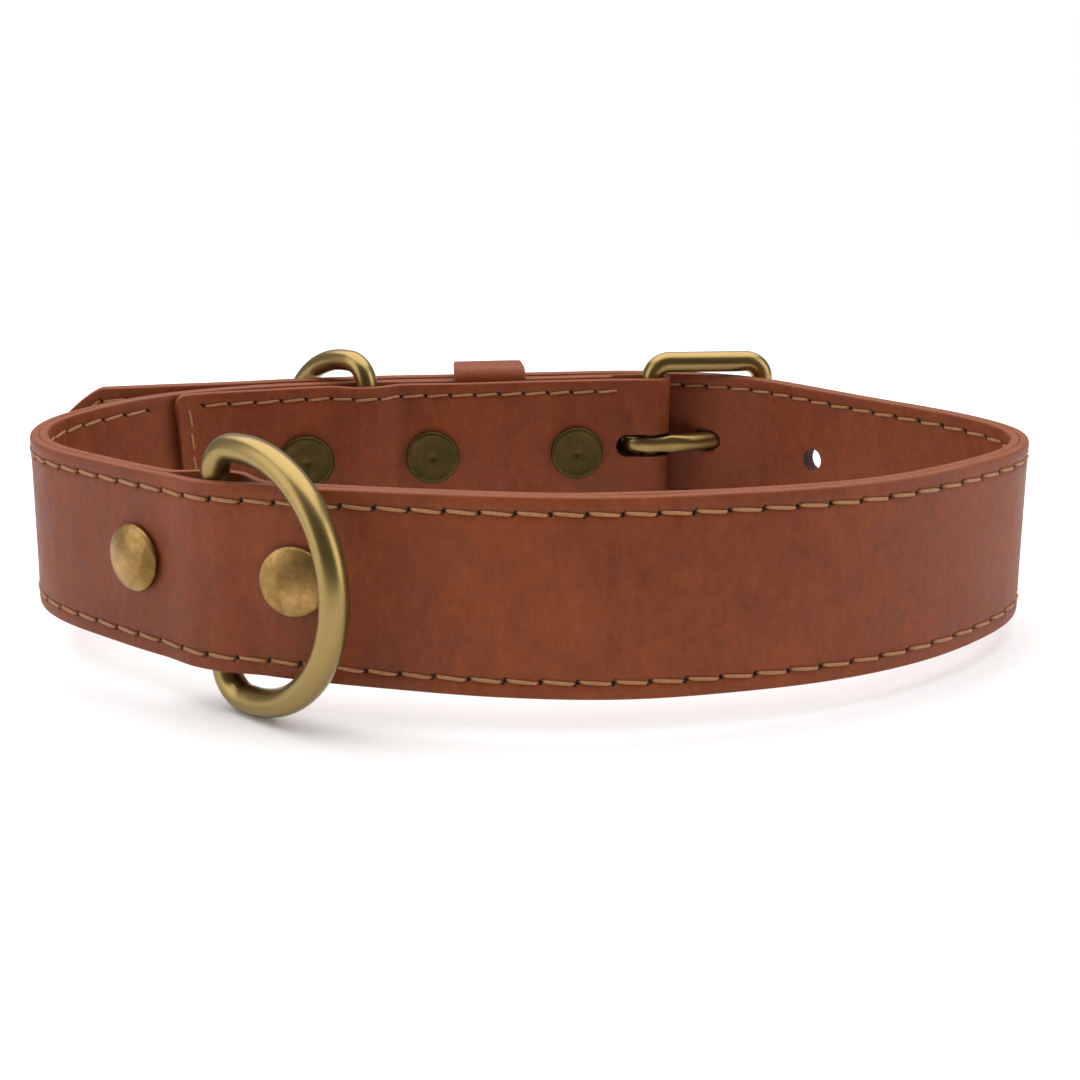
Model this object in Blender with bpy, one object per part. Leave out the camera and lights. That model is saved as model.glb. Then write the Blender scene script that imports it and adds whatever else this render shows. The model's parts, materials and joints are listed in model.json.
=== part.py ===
"""A leather dog collar, buckled into its loop and lying as it rests by itself.

The strap is two layers of leather, an outer one and a lining. Its buckle end is folded round the
buckle's heel bar and riveted down inside the loop as a tab, and its free end runs through the
buckle, the keeper and the rear D-ring. Lengths are in metres.

The collar is drawn with its strap level and then set down on its two rings and its buckle. A place
on the strap is given by its distance along the seam between the layers, counted from the heel bar,
its height over the strap's lower edge and its depth outwards from the seam.
"""

import math
from collections import namedtuple

import bmesh
import bpy
import numpy as np
from mathutils import Matrix, Vector

# Leather
LOOP_WIDTH = 0.1476
LOOP_DEPTH = 0.0849
STRAP_WIDTH = 0.025
LEATHER = 0.00125
LAYER_GAP = 0.0003
EDGE_BEVEL = 0.00025
TAB_LENGTH = 0.088
TAB_CORNER = 0.002
FREE_END_LENGTH = 0.1125
POINT_LENGTH = 0.0125
POINT_POWER = 1.3
KEEPER_WIDTH = 0.013
KEEPER_CORNER = 0.0011

# Punched holes and the tongue's slot
HOLE_DIAMETER = 0.004
HOLE_SPACING = 0.0228
SPARE_HOLES = (-1, 1, 2, 3)
SLOT_LENGTH = 0.0073
SLOT_HEIGHT = 0.0043

# Wire and cast metal
WIRE = 0.0038
RING_INNER_HEIGHT = 0.0294
RING_STRAIGHT = 0.0012
RING_CORNER = 0.0043
BUCKLE_LENGTH = 0.0245
BUCKLE_HEIGHT = 0.034
BUCKLE_CORNER = 0.0052
TONGUE_WIRE = 0.0032
TONGUE_WIDTH = 0.0034
TONGUE_CURL = 0.0012
TONGUE_EYE = 0.0020
TONGUE_OVERHANG = 0.0022

# Rivets
CAP_DIAMETER = 0.0092
CAP_HEIGHT = 0.0013
CAP_RIM = 0.0005
HEAD_DIAMETER = 0.0082
HEAD_THICKNESS = 0.0008
TAB_HEAD_DIAMETER = 0.0097
TAB_HEAD_THICKNESS = 0.0009
SHANK_DIAMETER = 0.0034

# Clearances: pieces that touch, the pocket round a ring's bar, rivets on the curved leather, and
# the keeper round the strap
TOUCH = 0.0003
BAR_PLAY = 0.0003
SEAT = 0.0005
KEEPER_PLAY = 0.0004
KEEPER_HEADROOM = 0.0012

# Places along the strap, from the heel bar
TAB_RIVETS = (0.0145, 0.0410, 0.0647)
KEEPER_PLACE = 0.0302
BACK_RING_PLACE = 0.0526
FRONT_RING_PLACE = 0.1670
FRONT_RIVET_REACH = 0.01245
POCKET_FLAT = 0.0012
POCKET_RAMP = 0.0071
POCKET_SHARE = 0.20
FRONT_RIVET_LIFT = 0.0005
TAB_RIVET_DROP = 0.0009

# How the hardware stands, in degrees from the strap, how far the front ring's bow tips up, and how
# far each ring hangs below centre
FRONT_RING_SWING = 16.0
BACK_RING_SWING = 47.0
FRONT_RING_TILT = 2.5
RING_DROP = 0.0002
FRAME_SWING = -4.0
CROSSING_SWING = 42.0

WIRE_SIDES = 12
ROUND_STEPS = 32
STATION_STEP = 0.0028
FINE_STEP = 0.0012

# The seam's plan from the fold round to the right of the buckle: across from the loop's middle as a
# share of LOOP_WIDTH, deep from the front as a share of LOOP_DEPTH, and how far the top edge leans
# in over the lower one, as a share of STRAP_WIDTH
PlanKnot = namedtuple("PlanKnot", ("across", "deep", "lean"))
PLAN = (
    PlanKnot(0.162, 1.000, 0.00),
    PlanKnot(0.062, 0.981, 0.00),
    PlanKnot(-0.060, 0.957, 0.00),
    PlanKnot(-0.210, 0.933, 0.00),
    PlanKnot(-0.319, 0.888, 0.00),
    PlanKnot(-0.390, 0.836, 0.00),
    PlanKnot(-0.441, 0.762, 0.00),
    PlanKnot(-0.478, 0.670, 0.01),
    PlanKnot(-0.498, 0.564, 0.02),
    PlanKnot(-0.495, 0.464, 0.05),
    PlanKnot(-0.464, 0.352, 0.09),
    PlanKnot(-0.3935, 0.248, 0.10),
    PlanKnot(-0.279, 0.123, 0.09),
    PlanKnot(-0.142, 0.050, 0.12),
    PlanKnot(0.056, 0.000, 0.15),
    PlanKnot(0.2055, 0.027, 0.13),
    PlanKnot(0.328, 0.094, 0.10),
    PlanKnot(0.430, 0.212, 0.09),
    PlanKnot(0.484, 0.320, 0.05),
    PlanKnot(0.498, 0.422, 0.02),
    PlanKnot(0.479, 0.530, 0.01),
    PlanKnot(0.436, 0.638, 0.00),
    PlanKnot(0.359, 0.803, 0.00),
)

# The free end's lie over the strap below it: where, as a share of FREE_END_LENGTH from the heel bar,
# and how far it stands off beyond its seat, as a share of STRAP_WIDTH
FreeEndKnot = namedtuple("FreeEndKnot", ("along", "standoff"))
FREE_END = (
    FreeEndKnot(0.10, 0.01),
    FreeEndKnot(0.27, 0.00),
    FreeEndKnot(0.47, 0.00),
    FreeEndKnot(0.62, 0.02),
    FreeEndKnot(0.74, 0.13),
)

STRAP = 2 * LEATHER + LAYER_GAP
FACE = STRAP / 2
MIDDLE = STRAP_WIDTH / 2
WIRE_RADIUS = WIRE / 2
FOLD_RADIUS = WIRE_RADIUS + BAR_PLAY
RING_HALF_HEIGHT = RING_INNER_HEIGHT / 2 + WIRE_RADIUS
RIVET_ROOM = SEAT + HEAD_THICKNESS + TOUCH
UP = Vector((0, 0, 1))


class Path:
    """A smooth curve through knots of any number of columns, read by distance along its plan."""

    def __init__(self, knots, samples=48):
        knots = np.array(knots, float)
        chord = np.linalg.norm(np.diff(knots[:, :2], axis=0), axis=1)
        self.at = np.concatenate([[0], np.cumsum(chord)])
        bend = self.second_derivatives(knots)
        rows = []
        for i, span in enumerate(chord):
            for share in np.arange(samples) / samples:
                rows.append(self.blend(knots, bend, i, span, share))
        self.rows = np.array(rows + [knots[-1]])
        steps = np.linalg.norm(np.diff(self.rows[:, :2], axis=0), axis=1)
        self.distance = np.concatenate([[0], np.cumsum(steps)])
        self.length = float(self.distance[-1])
        self.slope = np.gradient(self.rows[:, :2], self.distance, axis=0)
        self.knot_places = self.distance[::samples]

    def second_derivatives(self, knots):
        count = len(knots)
        matrix = np.eye(count)
        right = np.zeros_like(knots)
        for i in range(1, count - 1):
            before = self.at[i] - self.at[i - 1]
            after = self.at[i + 1] - self.at[i]
            matrix[i, i - 1 : i + 2] = (before, 2 * (before + after), after)
            right[i] = 6 * (
                (knots[i + 1] - knots[i]) / after - (knots[i] - knots[i - 1]) / before
            )
        return np.linalg.solve(matrix, right)

    @staticmethod
    def blend(knots, bend, i, span, share):
        rest = 1 - share
        return (
            rest * knots[i]
            + share * knots[i + 1]
            + ((rest**3 - rest) * bend[i] + (share**3 - share) * bend[i + 1]) * span**2 / 6
        )

    def read(self, place):
        """The columns at a place, and the unit direction of travel in plan."""
        row = [np.interp(place, self.distance, column) for column in self.rows.T]
        ahead = np.array([np.interp(place, self.distance, column) for column in self.slope.T])
        return row, ahead / np.linalg.norm(ahead)


def outward(ahead):
    """The loop's outward normal in plan, to the right of the direction of travel from the bar."""
    return Vector((ahead[1], -ahead[0], 0))


class Strap:
    """The seam's whole course, and every place that is measured from it."""

    def __init__(self):
        loop = [
            (knot.across * LOOP_WIDTH, knot.deep * LOOP_DEPTH, knot.lean * STRAP_WIDTH)
            for knot in PLAN
        ]
        under = Path(loop)
        start, ahead = under.read(0)
        normal = outward(ahead)
        self.bar = Vector((start[0], start[1], 0)) + normal * (LAYER_GAP / 2 - FOLD_RADIUS)
        swing = Matrix.Rotation(math.radians(FRAME_SWING), 3, "Z")
        self.frame_along = swing @ Vector((-ahead[0], -ahead[1], 0))
        self.frame_normal = swing @ normal
        self.far_wire = self.bar + self.frame_along * (BUCKLE_LENGTH - WIRE)
        crossing_normal = (
            Matrix.Rotation(math.radians(-CROSSING_SWING), 3, "Z") @ self.frame_normal
        )
        below_wire = self.far_wire - crossing_normal * (WIRE_RADIUS + TOUCH + FACE)
        over_bar = self.bar + normal * (FOLD_RADIUS + LEATHER + TOUCH + FACE)
        knots = loop + [(*below_wire.xy, 0), (*over_bar.xy, 0)]
        seat = STRAP + RIVET_ROOM
        for knot in FREE_END:
            row, ahead = under.read(knot.along * FREE_END_LENGTH)
            spot = Vector((row[0], row[1], 0))
            spot += outward(ahead) * (seat + knot.standoff * STRAP_WIDTH)
            knots.append((spot.x, spot.y, 0))
        self.path = Path(knots)
        self.bar_crossing = float(self.path.knot_places[len(loop) + 1])
        self.tip = self.bar_crossing + FREE_END_LENGTH
        self.hole = self.tongue_hole()

    def plan(self, place):
        """The seam's point and direction. Past the last knot the free end runs straight on."""
        inside = min(place, self.path.length)
        row, ahead = self.path.read(inside)
        point = Vector((row[0], row[1], 0)) + Vector((*ahead, 0)) * (place - inside)
        return point, ahead, row[2]

    def wall(self, place, height, depth):
        """A point of the strap's wall, which leans with the loop."""
        point, ahead, lean = self.plan(place)
        lean_here = lean * (height - MIDDLE) / STRAP_WIDTH
        return point + outward(ahead) * (depth - lean_here) + UP * height

    def frame(self, place):
        """The directions along the strap, out of it and up its leaning wall."""
        _, ahead, lean = self.plan(place)
        along = Vector((*ahead, 0))
        rise = (UP - outward(ahead) * lean / STRAP_WIDTH).normalized()
        return along, along.cross(rise), rise

    def tongue_line(self):
        """Where the tongue leaves the heel bar, and where it comes to rest over the far wire."""
        under = FOLD_RADIUS + TONGUE_CURL / 2
        over = WIRE_RADIUS + TOUCH + TONGUE_WIRE / 2
        slope = math.asin((under + over) / (BUCKLE_LENGTH - WIRE))
        out = Matrix.Rotation(slope, 3, "Z") @ self.frame_normal
        return self.bar - out * under, self.far_wire + out * over

    def tongue_hole(self):
        """The place along the free end where the tongue passes through it."""
        root, rest = self.tongue_line()
        side = (rest - root).cross(UP)
        places = np.linspace(self.bar_crossing - BUCKLE_LENGTH, self.bar_crossing, 400)
        off = [abs((self.plan(place)[0] - root).dot(side)) for place in places]
        return float(places[int(np.argmin(off))])


def smooth_step(value):
    share = min(max(value, 0.0), 1.0)
    return share * share * (3 - 2 * share)


def pocket(place):
    """How much further apart the layers stand to make the pocket for the front ring's bar."""
    reach = abs(place - FRONT_RING_PLACE) - POCKET_FLAT
    return (WIRE + 2 * BAR_PLAY - LAYER_GAP) * (1 - smooth_step(reach / POCKET_RAMP))


def tab_depth(place):
    """How far inside the seam the tab's hidden face lies."""
    bar = FACE + WIRE + 2 * BAR_PLAY
    keeper = FACE + LEATHER + 2 * KEEPER_PLAY
    head = TAB_HEAD_DIAMETER / 2
    knots = (
        (0.0, 2 * FOLD_RADIUS - LAYER_GAP / 2),
        (TAB_RIVETS[0] - head, keeper),
        (TAB_RIVETS[1] + head, keeper),
        (BACK_RING_PLACE - POCKET_FLAT, bar),
        (BACK_RING_PLACE + POCKET_FLAT, bar),
        (TAB_RIVETS[2] - head, keeper),
        (TAB_RIVETS[2] + head, keeper),
        (TAB_LENGTH, FACE + 2 * TOUCH),
    )
    for (low, first), (high, second) in zip(knots, knots[1:]):
        if place <= high:
            return first + (second - first) * smooth_step((place - low) / (high - low))
    return knots[-1][1]


def stations(last, fine_spans):
    """Places from the heel bar to the last one, close together in the fine spans."""
    edges = sorted({0, last, *[edge for span in fine_spans for edge in span]})
    places = [0]
    for low, high in zip(edges, edges[1:]):
        fine = (low, high) in fine_spans
        steps = math.ceil((high - low) / (FINE_STEP if fine else STATION_STEP))
        places += [low + (high - low) * (i + 1) / steps for i in range(steps)]
    return places


def strap_stations(strap):
    """The places that both layers share, so that they bend alike."""
    reach = POCKET_FLAT + POCKET_RAMP
    bar = (FRONT_RING_PLACE - reach, FRONT_RING_PLACE + reach)
    return stations(strap.tip, (bar, (strap.tip - POINT_LENGTH, strap.tip)))


def point_half_width(strap, place):
    """Half the strap's width, which runs out in a rounded point at the free end."""
    share = (place - (strap.tip - POINT_LENGTH)) / POINT_LENGTH
    if share <= 0:
        return MIDDLE
    return MIDDLE * (1 - min(share, 0.985) ** POINT_POWER) ** (1 / POINT_POWER)


def tab_half_width(place):
    """Half the tab's width, with its two corners rounded."""
    inside = TAB_LENGTH - place
    if inside >= TAB_CORNER:
        return MIDDLE
    return MIDDLE - TAB_CORNER + math.sqrt(TAB_CORNER**2 - (TAB_CORNER - inside) ** 2)


def band_section(strap, place, near, far, half_width):
    """One bevelled cross-section of a leather layer between two depths."""
    bevel = math.copysign(EDGE_BEVEL, far - near)
    low = MIDDLE - half_width
    high = MIDDLE + half_width
    corners = (
        (low + EDGE_BEVEL, near),
        (low, near + bevel),
        (low, far - bevel),
        (low + EDGE_BEVEL, far),
        (high - EDGE_BEVEL, far),
        (high, far - bevel),
        (high, near + bevel),
        (high - EDGE_BEVEL, near),
    )
    return [strap.wall(place, height, depth) for height, depth in corners]


def paint(name, colour, roughness, metallic):
    """A plain Principled material."""
    material = bpy.data.materials.new(name)
    material.use_nodes = True
    shader = material.node_tree.nodes["Principled BSDF"]
    shader.inputs["Base Color"].default_value = (*colour, 1)
    shader.inputs["Roughness"].default_value = roughness
    shader.inputs["Metallic"].default_value = metallic
    material.diffuse_color = (*colour, 1)
    return material


def skin(name, sections, closed, material, matrix=None):
    """A closed solid over a row of equal cross-sections, with flat ends unless the row is a loop."""
    mesh = bpy.data.meshes.new(name)
    body = bmesh.new()
    rows = [[body.verts.new(point) for point in section] for section in sections]
    pairs = list(zip(rows, rows[1:]))
    if closed:
        pairs.append((rows[-1], rows[0]))
    for first, second in pairs:
        for i, corner in enumerate(first):
            j = (i + 1) % len(first)
            body.faces.new((corner, first[j], second[j], second[i]))
    if not closed:
        body.faces.new(rows[0][::-1])
        body.faces.new(rows[-1])
    bmesh.ops.recalc_face_normals(body, faces=body.faces)
    body.to_mesh(mesh)
    body.free()
    mesh.shade_smooth()
    mesh.set_sharp_from_angle(angle=math.radians(35))
    mesh.materials.append(material)
    piece = bpy.data.objects.new(name, mesh)
    bpy.context.scene.collection.objects.link(piece)
    piece.matrix_world = matrix or Matrix.Identity(4)
    return piece


def circle(radius, sides):
    """Points of a circle with a flat side on each axis."""
    angles = [2 * math.pi * (i + 0.5) / sides for i in range(sides)]
    return [(radius * math.cos(angle), radius * math.sin(angle)) for angle in angles]


def axes_matrix(origin, x_axis, y_axis, z_axis):
    matrix = Matrix((x_axis, y_axis, z_axis)).transposed().to_4x4()
    matrix.translation = origin
    return matrix


def turned(name, profile, matrix, material):
    """A solid turned about local Z from a profile of radius and height."""
    sections = []
    for radius, height in profile:
        scale = max(radius, 0.0003)
        sections.append([Vector((x, y, height)) for x, y in circle(scale, ROUND_STEPS)])
    return skin(name, sections, False, material, matrix)


def wire_loop(name, outline, material, matrix):
    """Round wire along a closed outline in local XZ."""
    sections = []
    count = len(outline)
    for i, (x, z) in enumerate(outline):
        before = Vector(outline[i - 1])
        after = Vector(outline[(i + 1) % count])
        ahead = (after - before).normalized()
        side = Vector((ahead.y, 0, -ahead.x))
        sections.append(
            [
                Vector((x, 0, z)) + side * a + Vector((0, 1, 0)) * b
                for a, b in circle(WIRE_RADIUS, WIRE_SIDES)
            ]
        )
    return skin(name, sections, True, material, matrix)


def arc(centre, radius, first, last, steps):
    """Points of an arc, with angles in degrees."""
    angles = np.radians(np.linspace(first, last, steps))
    return [
        (centre[0] + radius * math.cos(angle), centre[1] + radius * math.sin(angle))
        for angle in angles
    ]


def ring_outline():
    """A D: a straight bar on local Z, two corners and a half-round bow towards local X."""
    corner_height = RING_HALF_HEIGHT - RING_CORNER
    bow = (RING_CORNER + RING_STRAIGHT, 0)
    outline = [(0, corner_height * share) for share in (1, 0.33, -0.33, -1)]
    outline += arc((RING_CORNER, -corner_height), RING_CORNER, 180, 270, 6)[1:]
    outline += arc(bow, RING_HALF_HEIGHT, -90, 90, 24)
    outline += arc((RING_CORNER, corner_height), RING_CORNER, 90, 180, 6)[:-1]
    return outline


def rounded_rectangle(width, height, radius, steps):
    """Points round a rectangle with round corners, from its right side upwards."""
    x = width / 2 - radius
    y = height / 2 - radius
    corners = ((x, y, 0), (-x, y, 90), (-x, -y, 180), (x, -y, 270))
    return [
        point
        for cx, cy, angle in corners
        for point in arc((cx, cy), radius, angle, angle + 90, steps)
    ]


def outer_strap(strap, material):
    """The outer layer: point, loop, fold round the heel bar, and tab."""
    sections = []
    for place in reversed(strap_stations(strap)):
        near = LAYER_GAP / 2 + POCKET_SHARE * pocket(place)
        half_width = point_half_width(strap, place)
        sections.append(band_section(strap, place, near, near + LEATHER, half_width))
    along, normal, _ = strap.frame(0)
    for angle in np.linspace(0, math.pi, 13)[1:-1]:
        turned_out = normal * math.cos(angle) - along * math.sin(angle)
        sections.append(fold_section(strap, turned_out))
    head = TAB_HEAD_DIAMETER / 2
    fine = (
        (TAB_RIVETS[1] + head, TAB_RIVETS[2] - head),
        (TAB_LENGTH - TAB_CORNER, TAB_LENGTH),
    )
    for place in stations(TAB_LENGTH, fine):
        near = -tab_depth(place)
        half_width = tab_half_width(place)
        sections.append(band_section(strap, place, near, near - LEATHER, half_width))
    return skin("outer_strap", sections, False, material)


def fold_section(strap, turned_out):
    """One cross-section of the outer layer where it turns round the heel bar."""
    near = FOLD_RADIUS
    far = FOLD_RADIUS + LEATHER
    corners = (
        (EDGE_BEVEL, near),
        (0, near + EDGE_BEVEL),
        (0, far - EDGE_BEVEL),
        (EDGE_BEVEL, far),
        (STRAP_WIDTH - EDGE_BEVEL, far),
        (STRAP_WIDTH, far - EDGE_BEVEL),
        (STRAP_WIDTH, near + EDGE_BEVEL),
        (STRAP_WIDTH - EDGE_BEVEL, near),
    )
    return [strap.bar + turned_out * depth + UP * height for height, depth in corners]


def lining(strap, material):
    """The inner layer, from just behind the tongue's slot to the point."""
    sections = []
    for place in strap_stations(strap):
        if place < SLOT_LENGTH:
            continue
        near = -LAYER_GAP / 2 - (1 - POCKET_SHARE) * pocket(place)
        half_width = point_half_width(strap, place)
        sections.append(band_section(strap, place, near, near - LEATHER, half_width))
    return skin("lining", sections, False, material)


def keeper(strap, material):
    """A closed loop of leather round the strap and the free end, passing behind the tab."""
    inner = -FACE - KEEPER_PLAY
    outer = FACE + RIVET_ROOM + STRAP + KEEPER_PLAY
    thick = outer - inner
    tall = STRAP_WIDTH + 2 * KEEPER_HEADROOM
    middle = (inner + outer) / 2
    near = rounded_rectangle(thick, tall, KEEPER_CORNER, 4)
    far = rounded_rectangle(
        thick + 2 * LEATHER, tall + 2 * LEATHER, KEEPER_CORNER + LEATHER, 4
    )
    places = np.linspace(-0.5, 0.5, 5) * KEEPER_WIDTH + KEEPER_PLACE
    sections = []
    for (near_depth, near_height), (far_depth, far_height) in zip(near, far):
        section = [
            strap.wall(place, MIDDLE + near_height, middle + near_depth) for place in places
        ]
        section += [
            strap.wall(place, MIDDLE + far_height, middle + far_depth)
            for place in reversed(places)
        ]
        sections.append(section)
    return skin("keeper", sections, True, material)


def buckle_frame(strap, material):
    """A round-wire frame with rounded corners, its heel bar in the fold."""
    outline = rounded_rectangle(
        BUCKLE_LENGTH - WIRE, BUCKLE_HEIGHT - WIRE, BUCKLE_CORNER - WIRE_RADIUS, 7
    )
    centre = (strap.bar + strap.far_wire) / 2 + UP * MIDDLE
    matrix = axes_matrix(centre, strap.frame_along, strap.frame_normal, UP)
    return wire_loop("buckle_frame", outline, material, matrix)


def tongue_course(strap):
    """The tongue's middle line with its half thickness at each point."""
    root, rest = strap.tongue_line()
    shank = (rest - root).normalized()
    curl_radius = FOLD_RADIUS + TONGUE_CURL / 2
    course = []
    for angle in np.radians(np.linspace(70, 270, 17)):
        reach = curl_radius + (TONGUE_EYE if math.cos(angle) < 0 else 0)
        spot = strap.bar + strap.frame_along * math.cos(angle) * reach
        spot += strap.frame_normal * math.sin(angle) * curl_radius
        course.append((spot, TONGUE_CURL / 2))
    reach = (rest - root).length
    full = TONGUE_WIRE / 2
    for share in np.linspace(0.12, 1.0, 12):
        grow = smooth_step((share - 0.05) / 0.3)
        course.append((root + shank * reach * share, TONGUE_CURL / 2 * (1 - grow) + full * grow))
    for share, thickness in ((0.4, 0.95), (0.75, 0.75), (1.0, 0.42)):
        course.append((rest + strap.frame_along * TONGUE_OVERHANG * share, full * thickness))
    return course


def buckle_tongue(strap, material):
    """The tongue: a flat curl round the heel bar and a round shank on through the free end."""
    course = tongue_course(strap)
    points = [point for point, _ in course]
    sections = []
    for i, (point, half_thickness) in enumerate(course):
        ahead = points[min(i + 1, len(points) - 1)] - points[max(i - 1, 0)]
        side = ahead.normalized().cross(UP)
        half_width = min(TONGUE_WIDTH / 2, half_thickness + TONGUE_WIDTH / 4)
        sections.append(
            [
                point + side * a * half_thickness + UP * (MIDDLE + b * half_width)
                for a, b in circle(1, WIRE_SIDES)
            ]
        )
    return skin("buckle_tongue", sections, False, material)


def d_ring(strap, name, place, depth, swing, tip, material):
    """A D-ring with its origin on its bar, its bow swung out from the strap and tipped up."""
    along, normal, rise = strap.frame(place)
    turn = math.radians(swing)
    tilt = math.radians(tip)
    level = along * math.cos(turn) + normal * math.sin(turn)
    reach = level * math.cos(tilt) + rise * math.sin(tilt)
    axis = rise * math.cos(tilt) - level * math.sin(tilt)
    origin = strap.wall(place, MIDDLE - RING_DROP, depth)
    matrix = axes_matrix(origin, reach, axis.cross(reach), axis)
    return wire_loop(name, ring_outline(), material, matrix)


def dome(radius, height, base, steps):
    """The profile of a low round cap from its rim to its crown."""
    angles = np.linspace(0, math.pi / 2, steps)
    return [(radius * math.cos(a), base + height * math.sin(a)) for a in angles]


def front_rivet(strap, name, place, material):
    """A domed cap outside, a flat head on the neck side, and the shank between them."""
    _, normal, rise = strap.frame(place)
    inside = -FACE - SEAT
    outside = FACE + SEAT
    profile = [
        (0, inside - HEAD_THICKNESS),
        (HEAD_DIAMETER / 2, inside - HEAD_THICKNESS),
        (HEAD_DIAMETER / 2, inside),
        (SHANK_DIAMETER / 2, inside),
        (SHANK_DIAMETER / 2, outside),
        (CAP_DIAMETER / 2, outside),
    ]
    profile += dome(CAP_DIAMETER / 2, CAP_HEIGHT - CAP_RIM, outside + CAP_RIM, 6)
    centre = strap.wall(place, MIDDLE + FRONT_RIVET_LIFT, 0)
    matrix = axes_matrix(centre, rise, normal.cross(rise), normal)
    return turned(name, profile, matrix, material)


def tab_rivet(strap, name, place, material):
    """A flat head on the tab, a shank through tab and strap, and a thin head under the free end."""
    _, normal, rise = strap.frame(place)
    inside = -tab_depth(place) - LEATHER - SEAT
    outside = FACE + SEAT
    head = TAB_HEAD_DIAMETER / 2
    profile = [
        (head * 0.12, inside - TAB_HEAD_THICKNESS * 0.75),
        (head * 0.2, inside - TAB_HEAD_THICKNESS),
        (head * 0.88, inside - TAB_HEAD_THICKNESS),
        (head, inside - TAB_HEAD_THICKNESS * 0.7),
        (head, inside),
        (SHANK_DIAMETER / 2, inside),
        (SHANK_DIAMETER / 2, outside),
        (HEAD_DIAMETER / 2, outside),
        (HEAD_DIAMETER / 2, outside + HEAD_THICKNESS),
        (0, outside + HEAD_THICKNESS),
    ]
    centre = strap.wall(place, MIDDLE - TAB_RIVET_DROP, 0)
    matrix = axes_matrix(centre, rise, normal.cross(rise), normal)
    return turned(name, profile, matrix, material)


def add_punch(body, start, end, radius, sides=24):
    """Adds a round punch from start to end to the cutter's mesh."""
    axis = end - start
    matrix = axis.to_track_quat("Z", "Y").to_matrix().to_4x4()
    matrix.translation = (start + end) / 2
    bmesh.ops.create_cone(
        body,
        cap_ends=True,
        segments=sides,
        radius1=radius,
        radius2=radius,
        depth=axis.length,
        matrix=matrix,
    )


def leather_punches(strap):
    """One cutter for every hole in the leather: rivets, spare holes and the tongue's two openings."""
    body = bmesh.new()
    shank = SHANK_DIAMETER / 2 + TOUCH
    clear = TOUCH * 1.5
    through = (-FACE - clear, FACE + clear)
    for place in front_rivet_places():
        height = MIDDLE + FRONT_RIVET_LIFT
        add_punch(body, *[strap.wall(place, height, depth) for depth in through], shank)
    for place in TAB_RIVETS:
        depths = (-tab_depth(place) - LEATHER - clear, FACE + clear)
        height = MIDDLE - TAB_RIVET_DROP
        add_punch(body, *[strap.wall(place, height, depth) for depth in depths], shank)
    for index in SPARE_HOLES:
        place = strap.hole + index * HOLE_SPACING
        ends = [strap.wall(place, MIDDLE, depth) for depth in through]
        add_punch(body, *ends, HOLE_DIAMETER / 2)
    root, rest = strap.tongue_line()
    shank_line = (rest - root).normalized()
    centre = strap.wall(strap.hole, MIDDLE, 0)
    ends = (centre - shank_line * STRAP * 1.6, centre + shank_line * STRAP * 1.6)
    add_punch(body, *ends, TONGUE_WIDTH / 2 + TOUCH)
    add_slot(body, strap)
    mesh = bpy.data.meshes.new("leather_punches")
    body.to_mesh(mesh)
    body.free()
    cutter = bpy.data.objects.new("leather_punches", mesh)
    bpy.context.scene.collection.objects.link(cutter)
    cutter.hide_render = True
    cutter.display_type = "WIRE"
    return cutter


def add_slot(body, strap):
    """Adds the slot's cutter: a round-ended block through both sides of the fold."""
    along, normal, _ = strap.frame(0)
    reach = FOLD_RADIUS + LEATHER + TOUCH / 2
    radius = SLOT_HEIGHT / 2
    start = strap.bar - along * (reach + TOUCH)
    outline = [(0, -radius), (SLOT_LENGTH + reach - radius, -radius)]
    outline += arc((SLOT_LENGTH + reach - radius, 0), radius, -90, 90, 9)[1:-1]
    outline += [(SLOT_LENGTH + reach - radius, radius), (0, radius)]
    faces = []
    for depth in (-reach, reach):
        faces.append(
            [
                body.verts.new(start + along * x + UP * (MIDDLE + z) + normal * depth)
                for x, z in outline
            ]
        )
    low, high = faces
    made = [body.faces.new(low), body.faces.new(high[::-1])]
    for i, corner in enumerate(low):
        j = (i + 1) % len(low)
        made.append(body.faces.new((corner, high[i], high[j], low[j])))
    bmesh.ops.recalc_face_normals(body, faces=made)


def punch(piece, cutter):
    cut = piece.modifiers.new("punches", "BOOLEAN")
    cut.object = cutter
    cut.operation = "DIFFERENCE"


def front_rivet_places():
    return (FRONT_RING_PLACE - FRONT_RIVET_REACH, FRONT_RING_PLACE + FRONT_RIVET_REACH)


def world_points(piece):
    return [piece.matrix_world @ vertex.co for vertex in piece.data.vertices]


def lowest(piece):
    return min(world_points(piece), key=lambda point: point.z)


def set_down(pieces, feet, root):
    """Turns and moves the whole collar so that it stands on its feet, centred on the origin."""
    for _ in range(3):
        bpy.context.view_layer.update()
        first, second, third = [lowest(foot) for foot in feet]
        up = (second - first).cross(third - first).normalized()
        if up.z < 0:
            up.negate()
        turn = up.rotation_difference(UP).to_matrix().to_4x4()
        root.matrix_world = turn @ root.matrix_world
    bpy.context.view_layer.update()
    points = np.array([point for piece in pieces for point in world_points(piece)])
    low = points.min(axis=0)
    high = points.max(axis=0)
    middle = (low + high) / 2
    root.matrix_world = (
        Matrix.Translation((-middle[0], -middle[1], -low[2])) @ root.matrix_world
    )


def clear_scene():
    for old in list(bpy.data.objects):
        bpy.data.objects.remove(old, do_unlink=True)


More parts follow.
